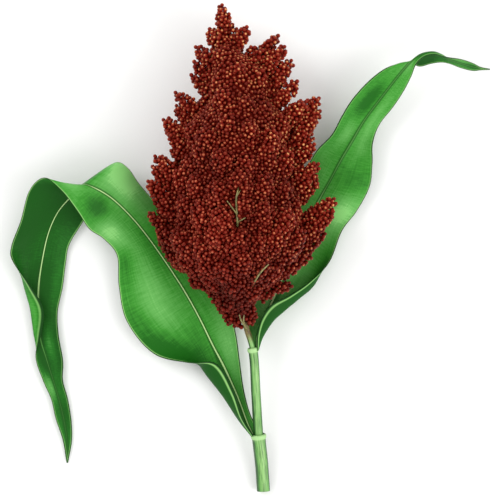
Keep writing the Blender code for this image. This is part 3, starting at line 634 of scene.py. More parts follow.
def rowsFromTip(root, tip, radius, pitch, alongPitch, rng):
    # evenly spaced places from a cluster's tip back to its root, with the way its surface faces, and the row
    axis = (tip - root).normalized()
    length = (tip - root).length
    side = axis.cross(up).normalized()
    other = axis.cross(side)
    gone, before, row = 0.0, (length, 0.0), 1
    yield tip.copy(), axis, 0
    steps = max(16, round(length * 2.5))
    for k in range(steps - 1, 0, -1):
        here = (k / steps * length, radius * clusterShare(k / steps))
        gone += math.dist(here, before)
        if gone >= alongPitch:
            gone = 0.0
            run, rise = here[0] - before[0], here[1] - before[1]
            count = max(2, round(2 * math.pi * here[1] / pitch))
            first = rng.uniform(0, 1) if row < 2 else 0.5 * (row % 2)
            for n in range(count):
                turn = 2 * math.pi * (n + first) / count
                out = side * math.cos(turn) + other * math.sin(turn)
                yield root + axis * here[0] + out * here[1], (axis * rise - out * run).normalized(), row
            row += 1
        before = here


def clusterGrains(root, tip, radius, settings, rng):
    # grains in small bunches all over a cluster, and then those between the bunches: order, place and lean
    axis = (tip - root).normalized()
    pitch = settings["pitch"]
    rowPitch = pitch * math.sqrt(3) / 2
    bunchPitch = settings["bunchPitch"]
    lean = axis * settings["upward"]
    for place, facing, row in rowsFromTip(root, tip, radius, bunchPitch, bunchPitch * 0.8, rng):
        way = (facing + axis * settings["bunchLean"]).normalized()
        way = (way + Vector([rng.gauss(0, settings["bunchStray"]) for _ in range(3)])).normalized()
        end = place + way * (settings["tipRise"] if row == 0 else rng.uniform(*settings["bunchRise"]))
        start = end - way * settings["bunchLength"]
        share = settings["tipSize"] if row == 0 else rng.uniform(*settings["bunchSize"])
        size = settings["bunchRadius"] * share
        for grain, out, ring in rowsFromTip(start, end, size, pitch, rowPitch, rng):
            if ring < 3:
                yield ring, grain, (out + way * settings["upward"]).normalized()
    for place, facing, _ in rowsFromTip(root, tip, radius, pitch, rowPitch, rng):
        yield 3, place + facing * settings["between"], (facing + lean).normalized()


def twigGap(place):
    # how far a grain is from the twigs that show, seen from above, where it could hide them
    nearest = 100.0
    for low, a, step in twigSteps:
        if place.z < low or abs(place.x - a.x) > 12.0 or abs(place.y - a.y) > 20.0:
            continue
        t = max(0.0, min(1.0, (place.xy - a).dot(step) / max(0.01, step.length_squared)))
        nearest = min(nearest, (place.xy - a - step * t).length)
    return nearest


def underBed(place, surface):
    # how deep a place lies under the bed's surface
    found, normal, _, _ = surface.find_nearest(place * mm)
    return (found / mm - place).dot(normal)


def placeGrains(clusters, bedPlaces, bedSurface, settings):
    # the grains that show, with no two too near: the tips of bunches come first, and the bed's last
    rng = random.Random(settings["seed"])
    rows, own = [], []
    for number, (root, tip, radius) in enumerate(clusters):
        for grain in clusterGrains(root, tip, radius, settings, rng):
            rows.append(grain)
            own.append(number)
    points = np.array([grain[1] for grain in rows])
    shares, reach = reachShares(points)
    underCore = (headSettings["coreShare"] - shares) * reach
    deep = np.maximum(depthInOthers(points, clusters, np.array(own)), underCore)
    candidates = [grain for grain, depth in zip(rows, deep) if depth < settings["buried"]]
    candidates = [grain for grain in candidates if underBed(grain[1], bedSurface) < settings["sunk"]]
    rng.shuffle(candidates)
    rise = headSettings["bedSink"] + settings["between"]
    toTip = Vector((0, 0.3, 0))
    for place, normal in bedPlaces:
        candidates.append((4, place + normal * rise, (normal + toTip).normalized()))
    candidates.sort(key=lambda grain: grain[0])

    cell = settings["closest"]
    taken, kept = {}, []
    lowest = settings["radius"] * 1.02
    room = settings["radius"] * settings["twigRoom"]
    for _, place, lean in candidates:
        place = place + Vector([rng.gauss(0, settings["scatter"]) for _ in range(3)])
        place.z = max(place.z, lowest)
        key = tuple(math.floor(c / cell) for c in place)
        near = (
            other
            for dx in (-1, 0, 1)
            for dy in (-1, 0, 1)
            for dz in (-1, 0, 1)
            for other in taken.get((key[0] + dx, key[1] + dy, key[2] + dz), ())
        )
        if any((place - other).length < cell for other in near) or twigGap(place) < room:
            continue
        taken.setdefault(key, []).append(place)
        kept.append((place, lean))
    return kept


def paintedHeadLight(place, settings):
    # painted light and shade: the head is painted lighter towards its tip and on some of its sprays, and
    # darker on others
    most, middle, way = settings["paintedLightAndShade"]
    paintedLightAndShade = most * (place.y - middle) / way
    for x, y, reach, strength in paintedLightPatches:
        paintedLightAndShade += strength * math.exp(-((place.x - x) ** 2 + (place.y - y) ** 2) / reach**2)
    return paintedLightAndShade


def headGold(place, settings):
    # the painted highlights on the crowns are red near the stalk, and golden on the right side and at the tip
    (tipFrom, tipWay), (footFrom, footWay) = settings["goldTip"], settings["goldFoot"]
    least, right = settings["goldSides"]
    rise = max(0.0, place.y - tipFrom) / tipWay + min(0.0, place.y - footFrom) / footWay
    return min(1.0, max(0.0, settings["goldPlain"] + max(least, place.x / right) + rise))


def grainMaterial(settings):
    # a dark split husk at the root of each grain, then brick red painted lighter towards its tip as painted
    # light, and a painted highlight at its crown
    made, tree, shader = newMaterial("sorghumGrain", 0.34, settings["specular"], settings["gleam"])
    place = {0: attribute(tree, "seedPlace", "Vector")}
    x, y, z = split(newNode("ShaderNodeVectorMath", place, operation="NORMALIZE").outputs[0])
    tone, paintedValleyShade, gold, paintedLightAndShade = attributes(tree, "tone", "paintedValleyShade", "gold", "paintedLightAndShade")
    patches = cloud(objectPlace(tree), settings["patchScale"])
    mottle = cloud(objectPlace(tree), settings["mottleScale"], 2.0)
    # the husk's edge is higher on two sides, and the edge of the painted highlight wanders
    twoHusks = times(minus(times(x, x), times(y, y)), settings["huskSplit"])
    bare = span(minus(z, twoHusks), *settings["huskEdge"])
    paintedLight = plus(z, times(minus(mottle, 0.5), settings["wander"]))
    paintedLight = plus(paintedLight, times(minus(tone, 0.5), settings["wander"]))
    crownHighlight = ramp(gold, [(0.0, settings["ember"]), (0.42, settings["crownHighlight"]), (1.0, settings["gold"])])
    skin = ramp(paintedLight, [(0.4, settings["body"]), (0.84, settings["brick"])])
    skin = blend(span(paintedLight, *settings["highlightEdge"]), skin, crownHighlight)
    colour = blend(bare, settings["husk"], skin)
    colour = blend(span(z, *settings["tipEdge"]), colour, settings["tip"])
    shade = times(tone, settings["toneShade"])
    shade = plus(shade, times(patches, settings["patchShade"]))
    # painted light and shade over the head
    shade = plus(plus(shade, paintedLightAndShade), settings["plainShade"])
    # painted shade in the valleys between clusters
    shade = minus(shade, times(paintedValleyShade, settings["valleyShade"]))
    deep = calc("POWER", shade, settings["deepening"])
    colour = blend(1.0, colour, vector(shade, deep, deep), "MULTIPLY")
    setInput(shader.inputs["Base Color"], colour)
    setInput(shader.inputs["Roughness"], span(mottle, 0.3, 0.7, *settings["roughness"]))
    bump(shader, plus(bare, times(mottle, 0.3)), 0.35, 0.0003)
    return made


def grainPiece(name, grains, material, settings, rng):
    # one mesh of many grains, each with its own turn, size and tone
    one = bmesh.new()
    bmesh.ops.create_icosphere(one, subdivisions=2, radius=1)
    unit = np.array([vert.co for vert in one.verts])
    grain = meshFrom("oneGrain", one)
    size = settings["radius"] * mm
    stretch = Matrix.Diagonal((size, size, size * settings["stretch"], 1))
    whole = bmesh.new()
    for place, lean in grains:
        leaning = Matrix.LocRotScale(place * mm, lean.to_track_quat("Z", "Y"), None)
        turned = Matrix.Rotation(rng.uniform(0, 6.28), 4, "Z")
        sized = Matrix.Scale(rng.uniform(*settings["sizes"]), 4) @ stretch
        grain.vertices.foreach_set("co", unit.ravel())
        grain.transform(leaning @ turned @ sized)
        whole.from_mesh(grain)
    bpy.data.meshes.remove(grain)
    piece = newPiece(name, whole, [material])
    attributes = piece.data.attributes
    seedPlaces = np.tile(unit, (len(grains), 1)).ravel()
    attributes.new("seedPlace", "FLOAT_VECTOR", "POINT").data.foreach_set("vector", seedPlaces)
    shares, _ = reachShares(np.array([place for place, lean in grains]))
    values = {
        "tone": [rng.betavariate(2, 2) for _ in grains],
        # painted shade, stronger the deeper a grain lies inside the head's outline
        "paintedValleyShade": np.clip((1.0 - shares) / (1.0 - headSettings["coreShare"] * 0.96), 0, 1),
        "paintedLightAndShade": [paintedHeadLight(place, settings) for place, lean in grains],
        "gold": [headGold(place, settings) for place, lean in grains],
    }
    for key, numbers in values.items():
        attributes.new(key, "FLOAT", "POINT").data.foreach_set("value", np.repeat(numbers, len(unit)))
    return piece


def buildSeedHead():
    clusters = allClusters(headSettings)
    bed, bedPlaces, bedSurface = seedHeadBed(clusters, headSettings)
    print("Bed of the head:", len(clusters), "clusters,", len(bed.data.polygons), "faces")
    grains = placeGrains(clusters, bedPlaces, bedSurface, grainSettings)
    grains.sort(key=lambda grain: grain[0].y)
    rng = random.Random(grainSettings["seed"] + 1)
    material = grainMaterial(grainSettings)
    pieces, count = [bed], grainSettings["pieces"]
    for number in range(count):
        few = grains[len(grains) * number // count : len(grains) * (number + 1) // count]
        pieces.append(grainPiece(f"seedHeadGrains{number + 1}", few, material, grainSettings, rng))
    for piece in pieces:
        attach(piece, "root")
        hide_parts("seed_head")
    print("Grains:", len(grains))


buildSeedHead()


# Stalk, axis and twigs

stalkSettings = {
    "cutEnd": -249.3,
    "sides": 36,
    "twigSides": 12,
    "twigSteps": 5,  # rows of a twig between two of its points
    "step": 2.0,
    # pale is painted light along the stem's top, green its plain colour, and dark is painted shade down its
    # sides and the colour of its fine lines
    "pale": (0.295, 0.545, 0.175),
    "green": (0.125, 0.36, 0.07),
    "dark": (0.014, 0.075, 0.01),
    "collar": (0.4, 0.66, 0.27),
    "pith": (0.62, 0.7, 0.42),
    "rust": (0.27, 0.2, 0.062),
    "bark": (0.055, 0.03, 0.009),
    "twigPale": (0.29, 0.26, 0.085),
    "twigDark": (0.06, 0.045, 0.012),
    "fineLines": (60.0, 0.05),  # how dense they are round the stem and along it
    "broadLines": (11.0, 0.03),
    "twigThin": 0.78,  # how thick the twigs look, as a share of the branches' whole thickness
    "neck": (-121.0, -101.0),  # the stem turns rusty between these places along Y
    "cutRings": (0.0, 0.4, 0.8, 0.94),  # rings on the cut face, as shares of the stem's radius
}
culmRows = [
    (-249.3, 4.1), (-235, 4.1), (-217, 4.1), (-214.5, 4.3), (-213, 4.3), (-211.5, 3.2), (-190, 3.1),
    (-160, 3), (-140, 2.9), (-121.5, 2.8), (-112, 2.7), (-103.5, 2.6), (-92, 2.5), (-60, 2.3), (-18, 2.1),
    (30, 1.9), (85, 1.5), (150, 1),
]


def stemMaterial(name, settings):
    # lengthwise lines on pale green, painted lighter along the top as painted light and darker down the sides
    # as painted shade, with paler collars and a rusty neck
    made, tree, shader = newMaterial(name, 0.42)
    uv = tree.nodes.new("ShaderNodeUVMap")
    uv.uv_map = "UVMap"
    around = split(uv.outputs[0])[0]
    distance, collar, cutFace, neck = attributes(tree, "distance", "collar", "cutFace", "neck")
    fine = streaks(around, distance, settings["fineLines"])
    broad = streaks(around, distance, settings["broadLines"], 4.0)
    # UV across starts at the right side and passes the top at a quarter
    # painted light along the top of the stem and painted shade down its sides, mixed with broad lengthwise
    # stripes
    top = calc("COSINE", times(minus(around, 0.22), 2 * math.pi))
    paintedLight = plus(span(top, 0.35, 1.15), times(minus(broad, 0.5), 1.2))
    colour = ramp(paintedLight, [(0.1, settings["dark"]), (0.52, settings["green"]), (1.0, settings["pale"])])
    lines = span(fine, 0.4, 0.52)
    colour = blend(lines, blend(0.65, colour, settings["dark"]), colour)
    colour = blend(times(collar, 0.85), colour, settings["collar"])
    strands = blend(span(fine, 0.42, 0.56), settings["bark"], settings["rust"])
    colour = blend(span(neck, 0.2, 0.8), colour, strands)
    colour = blend(cutFace, colour, settings["pith"])
    setInput(shader.inputs["Base Color"], colour)
    bump(shader, fine, 0.3, 0.0004)
    return made


def twigMaterial(settings):
    made, tree, shader = newMaterial("headTwig", 0.5)
    bark = cloud(objectPlace(tree, (900, 160, 900)), 1.0)
    colour = ramp(bark, [(0.3, settings["twigDark"]), (0.62, settings["twigPale"])])
    setInput(shader.inputs["Base Color"], colour)
    bump(shader, bark, 0.4, 0.0003)
    return made


def stalkRow(y, radius):
    return stalkPoint(y), (stalkPoint(y + 1) - stalkPoint(y - 1)).normalized(), radius, y


def stalkPath(rows, step):
    # from rows of distance along Y and radius, with more between them: centre, direction, radius, distance
    found = []
    for (y, radius), (nextY, nextRadius) in zip(rows, rows[1:]):
        count = max(1, math.ceil(abs(nextY - y) / step))
        for k in range(count):
            t = k / count
            found.append((y + (nextY - y) * t, radius + (nextRadius - radius) * t))
    return [stalkRow(*row) for row in [*found, rows[-1]]]


def stemLayers(shape):
    return [shape.verts.layers.float.new(name) for name in ("distance", "collar", "cutFace", "neck")]


def twigPath(twig, thin, steps):
    # a smooth curve through the twig's rows, with a rounded tip
    rows = [(i, x, y, z, radius * thin) for i, (x, y, z, radius) in enumerate(twig)]
    places = [along(rows, k / steps) for k in range((len(rows) - 1) * steps + 1)]
    path = []
    for k, (x, y, z, radius) in enumerate(places):
        behind = Vector(places[max(0, k - 1)][:3])
        ahead = Vector(places[min(len(places) - 1, k + 1)][:3])
        path.append((Vector((x, y, z)), (ahead - behind).normalized(), radius))
    root, way = path[0][:2]
    end, out, radius = path[-1]
    return [(root, way, 0.0), *path, (end + out * 0.4, out, radius * 0.6), (end + out * 0.6, out, 0.0)]


def buildCulm(settings):
    shape = bmesh.new()
    shape.loops.layers.uv.new("UVMap")
    layers = stemLayers(shape)
    path = stalkPath(culmRows, settings["step"])
    neckStart, neckEnd = settings["neck"]
    rows = []
    for centre, direction, radius, y in path:
        neck = min(1.0, max(0.0, (y - neckStart) / (neckEnd - neckStart)))
        rows.append((centre, direction, radius, y, 0.0, 0.0, neck))
    (centre, direction, radius), end = rows[0][:3], rows[-1]
    rings = settings["cutRings"]
    cap = [(centre, direction, radius * share, settings["cutEnd"], 0.0, 1.0, 0.0) for share in rings]
    addTube(shape, [*cap, *rows, (end[0], end[1], 0.0, *end[3:])], settings["sides"], layers)
    culm = newPiece("culm", shape, [stemMaterial("culmSkin", settings)])
    twigs = bmesh.new()
    for twig in shownTwigs:
        addTube(twigs, twigPath(twig, settings["twigThin"], settings["twigSteps"]), settings["twigSides"], [])
    branches = newPiece("headTwigs", twigs, [twigMaterial(settings)])
    for piece in (culm, branches):
        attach(piece, "root")
        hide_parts("culm_and_branches")


buildCulm(stalkSettings)
print("Stalk and twigs are made")


# Leaves: each is a sheath round the stalk, a raised collar and a long blade

leafSettings = {
    "thickness": 0.8,
    "midrib": 1.8,
    "ribWidth": 0.85,
    "ribTaper": 0.65,
    "ribFading": 0.12,  # the share of the blade's length over which the rib fades
    "ridgeWidth": 1.3,
    "stationSteps": 7,
    "columns": 44,
    "crowding": 0.8,  # how much closer the columns stand at the midrib and at the margins
    "collarWidth": 4.4,
    "collarRise": 0.8,
    # the collar's rows: along the stalk, outwards, and how pale, as shares of half its width and of its rise
    "collarRows": [(-1, 0, 0.2), (-0.7, 0.7, 1), (-0.2, 1, 1), (0.4, 1, 1), (0.8, 0.5, 0.8), (1, -0.5, 0.5)],
    "veins": (34.0, 0.02),  # how dense they are across the blade and along it
    "hatch": (4.0, 0.75),
    "specular": 0.14,
    "gleam": (0.75, 1.0, 0.65),
    "upperGreen": (0.042, 0.262, 0.026),
    "upperLight": (0.135, 0.43, 0.098),
    "upperBright": (0.225, 0.57, 0.16),
    "upperDark": (0.012, 0.122, 0.009),
    # the underside's greens are darker than the upper side's, as painted shade
    "underGreen": (0.017, 0.15, 0.014),
    "underLight": (0.11, 0.37, 0.08),
    "underBright": (0.22, 0.52, 0.16),
    "underDark": (0.008, 0.08, 0.007),
    "rib": (0.5, 0.73, 0.3),
    "ribFar": (0.07, 0.23, 0.045),  # towards the blade's tip
    # ribShade and marginDark are painted shade beside the midrib and along the margin
    "ribShade": (0.01, 0.07, 0.008),
    "marginLight": (0.33, 0.66, 0.2),
    "marginDark": (0.006, 0.05, 0.006),
    "ribShadeReach": (0.9, 2.2),  # where each line starts and stops fading, from the midrib or the margin
    "marginLightReach": (0.95, 1.6),
    "marginDarkReach": (0.4, 0.9),
    "patchScale": 16.0,
}

# Each row is one place along the leaf: midrib, left margin and right margin as X, Y and Z, then how far the
# middle of the left half and of the right half stand off the straight line from midrib to margin, as X, Y
# and Z or as a height alone.
lowerBladePlaces = [
    ((11.6, -199.5, 17), (13, -201, 24), (19.5, -198.5, 14.8), (-1.5, 0, 1), -2.2),
    ((6.3, -187.2, 13), (2.2, -183.5, 25), (9.5, -180.5, 12), (-5.5, 0, -3), -1),
    ((-2, -164, 9.5), (-5.4, -160.5, 26.5), (3.2, -157.5, 13.5), (-12, -1, -2.5), -1.5),
    ((-14, -137, 8), (-20.5, -134.5, 27), (-0.8, -128.5, 14.5), (-14, -7.5, -5), -1.5),
    ((-24.3, -118, 8), (-46, -133, 25.5), (-4, -106.5, 12.5), (-4.5, -3, -6), -1.5),
    ((-37, -92.5, 9), (-78, -125, 19), (-11.5, -79, 9), -3, -1),
    ((-50.5, -68.5, 10.5), (-102, -96.5, 15.5), (-27, -56, 4.5), 2.5, -1),
    ((-65, -46, 13), (-109.3, -64.5, 14), (-40, -30.5, 4.5), 4.5, 0.5),
    ((-81, -23, 18.5), (-111, -36.5, 20), (-57, -7, 8), 3, 2),
    ((-96.3, -3.6, 26), (-123, -21.5, 29), (-76, 11, 15), 1, 3),
    ((-112.5, 12.6, 36), (-136, -12.5, 38), (-91, 27.9, 25), 1, (1, 1, 4)),
    ((-125.5, 21.6, 45), (-146.5, 3.5, 45), (-101, 42, 34), 2, (2, 3, 4.5)),
    ((-137, 26.5, 49), (-161, 22.5, 50), (-111.6, 47.3, 35), 3, (3, 3, 5)),
    ((-144, 26, 41), (-176.5, 33.5, 44), (-125, 37.5, 26), (0, -1, 3), (3, 3, 1)),
    ((-153, 16.5, 27), (-190, 22, 32), (-131, 18.5, 15), (-2, 2, 2), (0, 2, 1)),
    ((-164.5, 3, 16.5), (-198, -5.5, 22), (-139.5, -1.5, 8), (-1.5, 0, -1), 1.5),
    ((-173, -16, 11), (-206.5, -28.5, 17), (-154, -25.5, 5), (-1, 0, -3), 2),
    ((-178.5, -40.5, 8), (-205, -41.5, 21), (-157.5, -42.5, 4), (-3.5, -1, -5), 2),
    ((-181.5, -63, 6), (-189.5, -64, 19), (-160.5, -66, 5), (-9.5, 0, -5), 1),
    ((-182, -85.5, 4.5), (-177.8, -85, 15.5), (-164.8, -87.5, 6), (-9.5, 0, -1.5), -0.5),
    ((-180.5, -110, 4), (-180.3, -110, 11.5), (-164, -108.5, 8.5), (-5.5, 0, -1), -1.5),
    ((-175.3, -129.5, 3.5), (-184.8, -128.5, 6.5), (-160, -132, 8), (-0.8, 0, 0.5), -1.5),
    ((-169.3, -148.5, 3), (-178.2, -149.5, 5.5), (-160.3, -149, 7), 0.5, -1),
    ((-164.3, -165, 2.5), (-170.8, -166.5, 4.5), (-155.7, -166.5, 5), 0.5, -0.5),
    ((-159.8, -183, 2), (-166.6, -184.5, 4), (-152.6, -185.5, 4), 0.5, -0.5),
    ((-156.6, -203, 1.8), (-160.2, -203.5, 3.5), (-152.1, -204, 3), 0, 0),
    ((-156.2, -224, 1.5), (-156.8, -224, 1.7), (-155.6, -224, 1.7), 0, 0),
]
upperBladePlaces = [
    ((15.6, -121, 34), (10.5, -121, 31.8), (15.2, -122.5, 39.8), (0.5, 0, -1.2), (1.2, 0, 0.5)),
    ((15.5, -109, 28.5), (7.5, -101, 28), (15.8, -107, 42), -1, (5, -2, 0)),
    ((21.6, -92.7, 20.5), (11.5, -84, 17), (19.2, -93.6, 37), -1, (9.5, -2.5, -1)),
    ((27.9, -80.1, 15), (18.5, -70.5, 9), (28, -81, 31.5), 0, (12, -6, -1)),
    ((35.1, -63, 12), (22.5, -54, 4.5), (44.5, -72.5, 29), 0.5, (13, -7, -2.5)),
    ((44.1, -42.3, 8.5), (28.5, -32.5, 2.8), (63, -60, 24.5), 0.5, (12.5, -8.5, -3.5)),
    ((54, -20.7, 8), (34.5, -10.5, 2.2), (80.5, -42.3, 19), 0.5, (4.5, -3, -3)),
    ((63.9, -0.9, 10), (43.5, 9, 3.2), (92, -14.5, 13), 0.5, -1),
    ((72.9, 16.2, 13), (53, 27, 9.5), (105.3, 3.6, 10), 0.5, 3),
    ((82, 32.4, 15.5), (61, 43.5, 13), (117, 26, 14), 1, 3.5),
    ((91, 49.5, 18), (69.5, 58.5, 20), (119.5, 46.5, 22), -1, -1),
    ((101, 66.6, 21), (82.8, 72.5, 25.5), (119.7, 64.5, 24.5), -2, -2),
    ((111.6, 84.6, 25), (91.8, 89.1, 31), (126, 82, 24), -2, 1),
    ((124.2, 101.7, 29), (101.7, 104.8, 35), (138, 97.5, 27), -2, 1.5),
    ((135.9, 117, 33), (117, 121.5, 38.5), (147.6, 112, 31), -1.5, 1),
    ((146.7, 130.5, 37), (133, 133, 40), (154.8, 126, 36), -1, 0.5),
    ((154.8, 139.1, 40), (151, 138, 34), (158.5, 135.5, 43), 0, 0),
    ((163, 145, 42.5), (161.5, 134, 31.5), (165.6, 142.3, 46), (0, 1, -1), (0, 0.6, 0.8)),
    ((173.4, 147, 41), (172, 136.5, 29), (174.6, 144.4, 44.5), (0, 1, -1), (0, 0.8, 0.8)),
    ((181.5, 144.6, 37), (181, 137.8, 27.5), (182.5, 142.6, 40), (0, 0.8, -0.8), (0, 0.5, 0.5)),
    ((188.5, 140.5, 32), (189, 136.7, 26), (189, 141.8, 34.5), -0.5, 0),
    ((199, 137, 23.5), (199, 133, 20.5), (199, 140.8, 25.5), 0.3, 0.3),
    ((209.7, 134.1, 14.5), (209.7, 130.5, 12.5), (209.7, 137.5, 16), 0.3, 0.3),
    ((217.8, 132.6, 8), (217.8, 131.1, 7.2), (217.8, 133.8, 8.6), 0, 0),
    ((225.9, 132, 2), (225.8, 131.5, 2), (225.8, 132.5, 2), 0, 0),
]
# Painted light and painted shade on each blade: place along it, place across it, half length, half width,
# strength.
lowerPatches = [
    (2.4, -0.75, 2.2, 0.5, -1.00), (3.6, 0.6, 1.6, 0.4, 0.65), (5, -0.85, 1, 0.35, -0.45),
    (6.3, -0.48, 1.5, 0.24, 0.8), (7.6, -0.8, 0.7, 0.25, -0.3), (9.1, -0.72, 0.8, 0.3, 0.95),
    (10.4, -0.45, 0.7, 0.4, -0.65), (10.9, 0.66, 1.6, 0.55, 1.45), (12.2, 0.4, 0.8, 0.35, -0.5),
    (12.6, -0.45, 0.7, 0.3, 0.8), (14.2, 0, 1.3, 1.5, -1.00), (15.8, -0.6, 1, 0.4, -0.3),
    (18, 0.75, 1.2, 0.3, 0.45), (19.4, -0.7, 1.2, 0.2, 0.6), (20.2, 0.4, 0.9, 0.3, 0.65),
    (21.4, -0.2, 0.8, 0.5, -0.3), (22.3, -0.5, 0.7, 0.4, 0.75), (24.2, 0.2, 1.2, 0.8, -0.35),
    (19.5, 0.3, 4.5, 2.00, -0.6),
]
upperPatches = [
    (3.4, 0.8, 3, 0.4, -1.1), (4, -0.35, 3.4, 0.75, 0.8), (7.6, 0.7, 0.9, 0.35, 1.00),
    (8.9, 0.6, 0.8, 0.4, -0.5), (11.2, 0.5, 1.2, 0.3, 0.35), (11.3, -0.42, 0.7, 0.26, 0.6),
    (12.8, 0.45, 1, 0.22, 0.25), (13, -0.38, 0.9, 0.3, -0.7), (15.6, 0.2, 0.7, 0.5, 0.65),
    (17.4, 0, 1, 1.2, -0.9), (21, 0.2, 0.8, 0.6, 0.55),
]
lowerSheathWall = [(-249.3, 5.9), (-235, 5.9), (-220, 6), (-207, 6.1), (-202.6, 6.2)]
lowerSheathBore = [(-190.6, 4.7), (-209, 4.7), (-211, 4.7), (-213.5, 4.5), (-235, 4.5), (-249.3, 4.5)]
upperSheathWall = [
    (-209, 4.3), (-195, 4.3), (-180, 4.3), (-162, 4.25), (-145, 4.2), (-130, 4.2), (-123.8, 4.3),
]
upperSheathBore = [(-121.5, 3.3), (-160, 3.5), (-190, 3.55), (-209, 3.6)]


def leafMaterial(name, settings, side, roughness):
    made, tree, shader = newMaterial(name, roughness, settings["specular"], settings["gleam"])
    rib, ribReach, fade, edge = attributes(tree, "ribGap", "ribReach", "ribFade", "edgeGap")
    across, distance, paintedLeafShading = attributes(tree, "across", "distance", "paintedLeafShading")
    veins = streaks(across, distance, settings["veins"], 0.0, 0.6)
    hatch = streaks(across, distance, settings["hatch"], 3.0, 0.65)
    patches = cloud(objectPlace(tree), settings["patchScale"], 3.0, 0.5)
    tone = plus(times(patches, 0.55), times(veins, 0.3))
    tone = plus(tone, times(minus(hatch, 0.2), 0.42))
    # painted light and shade from the blade's patch table
    tone = plus(tone, times(paintedLeafShading, 0.5))
    stops = ((0.3, "Dark"), (0.52, "Green"), (0.88, "Light"), (1.0, "Bright"))
    colour = ramp(tone, [(place, settings[side + key]) for place, key in stops])
    # the midrib is a pale line with a line of painted shade on each side, and the margin a light line inside
    # a dark line of painted shade
    # both are fainter towards the blade's tip
    colour = blend(span(rib, *settings["ribShadeReach"], 0.75, 0.0), colour, settings["ribShade"])
    ribColour = blend(fade, settings["rib"], settings["ribFar"])
    colour = blend(span(calc("DIVIDE", rib, ribReach), 0.55, 1.0, 1.0, 0.0), colour, ribColour)
    pale = times(span(edge, *settings["marginLightReach"], 1.0, 0.0), span(fade, 0.0, 1.0, 0.8, 0.35))
    colour = blend(pale, colour, settings["marginLight"])
    colour = blend(span(edge, *settings["marginDarkReach"], 1.0, 0.0), colour, settings["marginDark"])
    setInput(shader.inputs["Base Color"], colour)
    smoother, rougher = roughness - 0.06, roughness + 0.08
    setInput(shader.inputs["Roughness"], span(veins, 0.3, 0.7, smoother, rougher))
    height = plus(times(veins, 0.7), times(hatch, 0.3))
    bump(shader, height, 0.35, 0.0006)
    return made


def spread(share, crowding):
    # moves columns towards the midrib and the margins, from -1 at the left margin to 1 at the right
    half = abs(share)
    return math.copysign(half - crowding * math.sin(2 * math.pi * half) / (2 * math.pi), share)


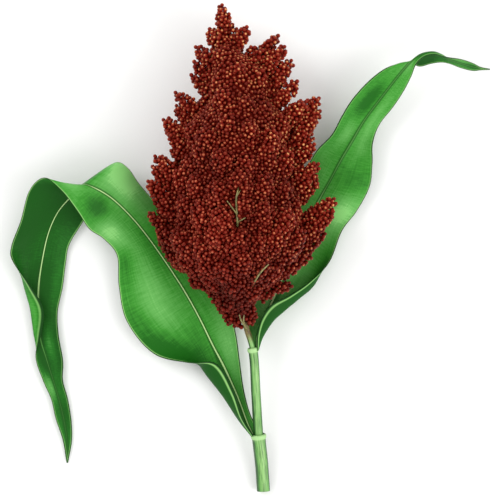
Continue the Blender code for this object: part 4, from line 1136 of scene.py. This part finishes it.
def bladePiece(name, places, materials, settings, fadeFrom, lightPatches):
    steps, columns = settings["stationSteps"], settings["columns"]
    rows = (len(places) - 1) * steps
    stations = [(i,) for i in range(len(places))]
    for i, place in enumerate(places):
        for point in place:
            stations[i] += point if isinstance(point, tuple) else (0, 0, point)
    strips = [along(stations, row / steps) for row in range(rows + 1)]
    middles = [Vector(strip[0:3]) for strip in strips]
    distances = [0.0]
    for a, b in zip(middles, middles[1:]):
        distances.append(distances[-1] + (b - a).length)
    sheet = bmesh.new()
    sheet.loops.layers.uv.new("UVMap")
    names = ("across", "ribGap", "edgeGap", "distance", "ribReach", "ribFade", "paintedLeafShading")
    for key in names:
        sheet.verts.layers.float.new(key)
    layers = [sheet.verts.layers.float[key] for key in names]
    weights = sheet.verts.layers.deform.verify()
    bmesh.ops.create_grid(sheet, x_segments=columns, y_segments=rows, size=1, calc_uvs=True)
    for vert in sheet.verts:
        row = round((vert.co.y + 1) / 2 * rows)
        share = spread(round(vert.co.x * columns / 2) / (columns / 2), settings["crowding"])
        numbers = strips[row]
        midrib, left, right, leftBow, rightBow = (Vector(numbers[k : k + 3]) for k in range(0, 15, 3))
        margin, bow = (left, leftBow) if share < 0 else (right, rightBow)
        half = abs(share)
        width = (margin - midrib).length
        vert.co = (midrib.lerp(margin, half) + bow * (4 * half * (1 - half))) * mm
        gone = distances[row] / distances[-1]
        widening = min(1.0, 0.25 + 0.1 * row / steps)
        reach = settings["ribWidth"] * (1.0 - settings["ribTaper"] * gone) * widening
        fade = min(1.0, max(0.0, (gone - fadeFrom) / settings["ribFading"]))
        # painted light and shade from the patch table
        paintedLeafShading = sum(
            strength * math.exp(-(((row / steps - t) / long) ** 2) - ((share - middle) / wide) ** 2)
            for t, middle, long, wide, strength in lightPatches
        )
        values = (share, half * width, (1 - half) * width, distances[row], reach, fade, paintedLeafShading)
        for layer, value in zip(layers, values):
            vert[layer] = value
        ridge = math.exp(-((half * width / settings["ridgeWidth"]) ** 2)) * (1.0 - gone) ** 0.5
        flat = settings["thickness"] / settings["midrib"]
        vert[weights][0] = flat + (1 - flat) * ridge
    piece = newPiece(name, sheet, materials)
    piece.vertex_groups.new(name="thickness")
    solid = piece.modifiers.new("bladeThickness", "SOLIDIFY")
    solid.thickness = settings["midrib"] * mm
    solid.offset = 0
    solid.vertex_group = "thickness"
    solid.material_offset = 1
    return piece


def sheathPiece(name, wall, bore, collarAt, material, settings):
    # up the outside of the sheath, over its collar, and back down its bore
    half, rise = settings["collarWidth"] / 2, settings["collarRise"]
    shape = bmesh.new()
    shape.loops.layers.uv.new("UVMap")
    layers = stemLayers(shape)
    inner = [(min(y, collarAt + half), radius) for y, radius in bore]
    inner[0] = (collarAt + half, inner[0][1])
    path = [(*row, 0.0, 0.0, 0.0) for row in stalkPath(wall, stalkSettings["step"])[:-1]]
    for ahead, out, pale in settings["collarRows"]:
        path.append((*stalkRow(collarAt + ahead * half, wall[-1][1] + out * rise), pale, 0.0, 0.0))
    path += [(*row, 0.0, 0.0, 0.0) for row in stalkPath(inner, stalkSettings["step"])]
    path.append(path[0])
    addTube(shape, path, stalkSettings["sides"], layers)
    return newPiece(name, shape, [material])


def buildLeaves(settings):
    upper = leafMaterial("leafUpperSide", settings, "upper", 0.4)
    # the underside is a darker copy of the leaf, as painted shade
    under = leafMaterial("leafUnderSide", settings, "under", 0.5)
    sheath = stemMaterial("sheathSkin", stalkSettings)
    leaves = {
        "lower_leaf": (
            bladePiece("lowerBlade", lowerBladePlaces, [upper, under], settings, 0.66, lowerPatches),
            sheathPiece("lowerSheath", lowerSheathWall, lowerSheathBore, -199.8, sheath, settings),
        ),
        "upper_leaf": (
            bladePiece("upperBlade", upperBladePlaces, [upper, under], settings, 0.3, upperPatches),
            sheathPiece("upperSheath", upperSheathWall, upperSheathBore, -121.5, sheath, settings),
        ),
    }
    for node, pieces in leaves.items():
        for piece in pieces:
            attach(piece, "root")
            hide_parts(node)


buildLeaves(leafSettings)
print("Leaves are made")
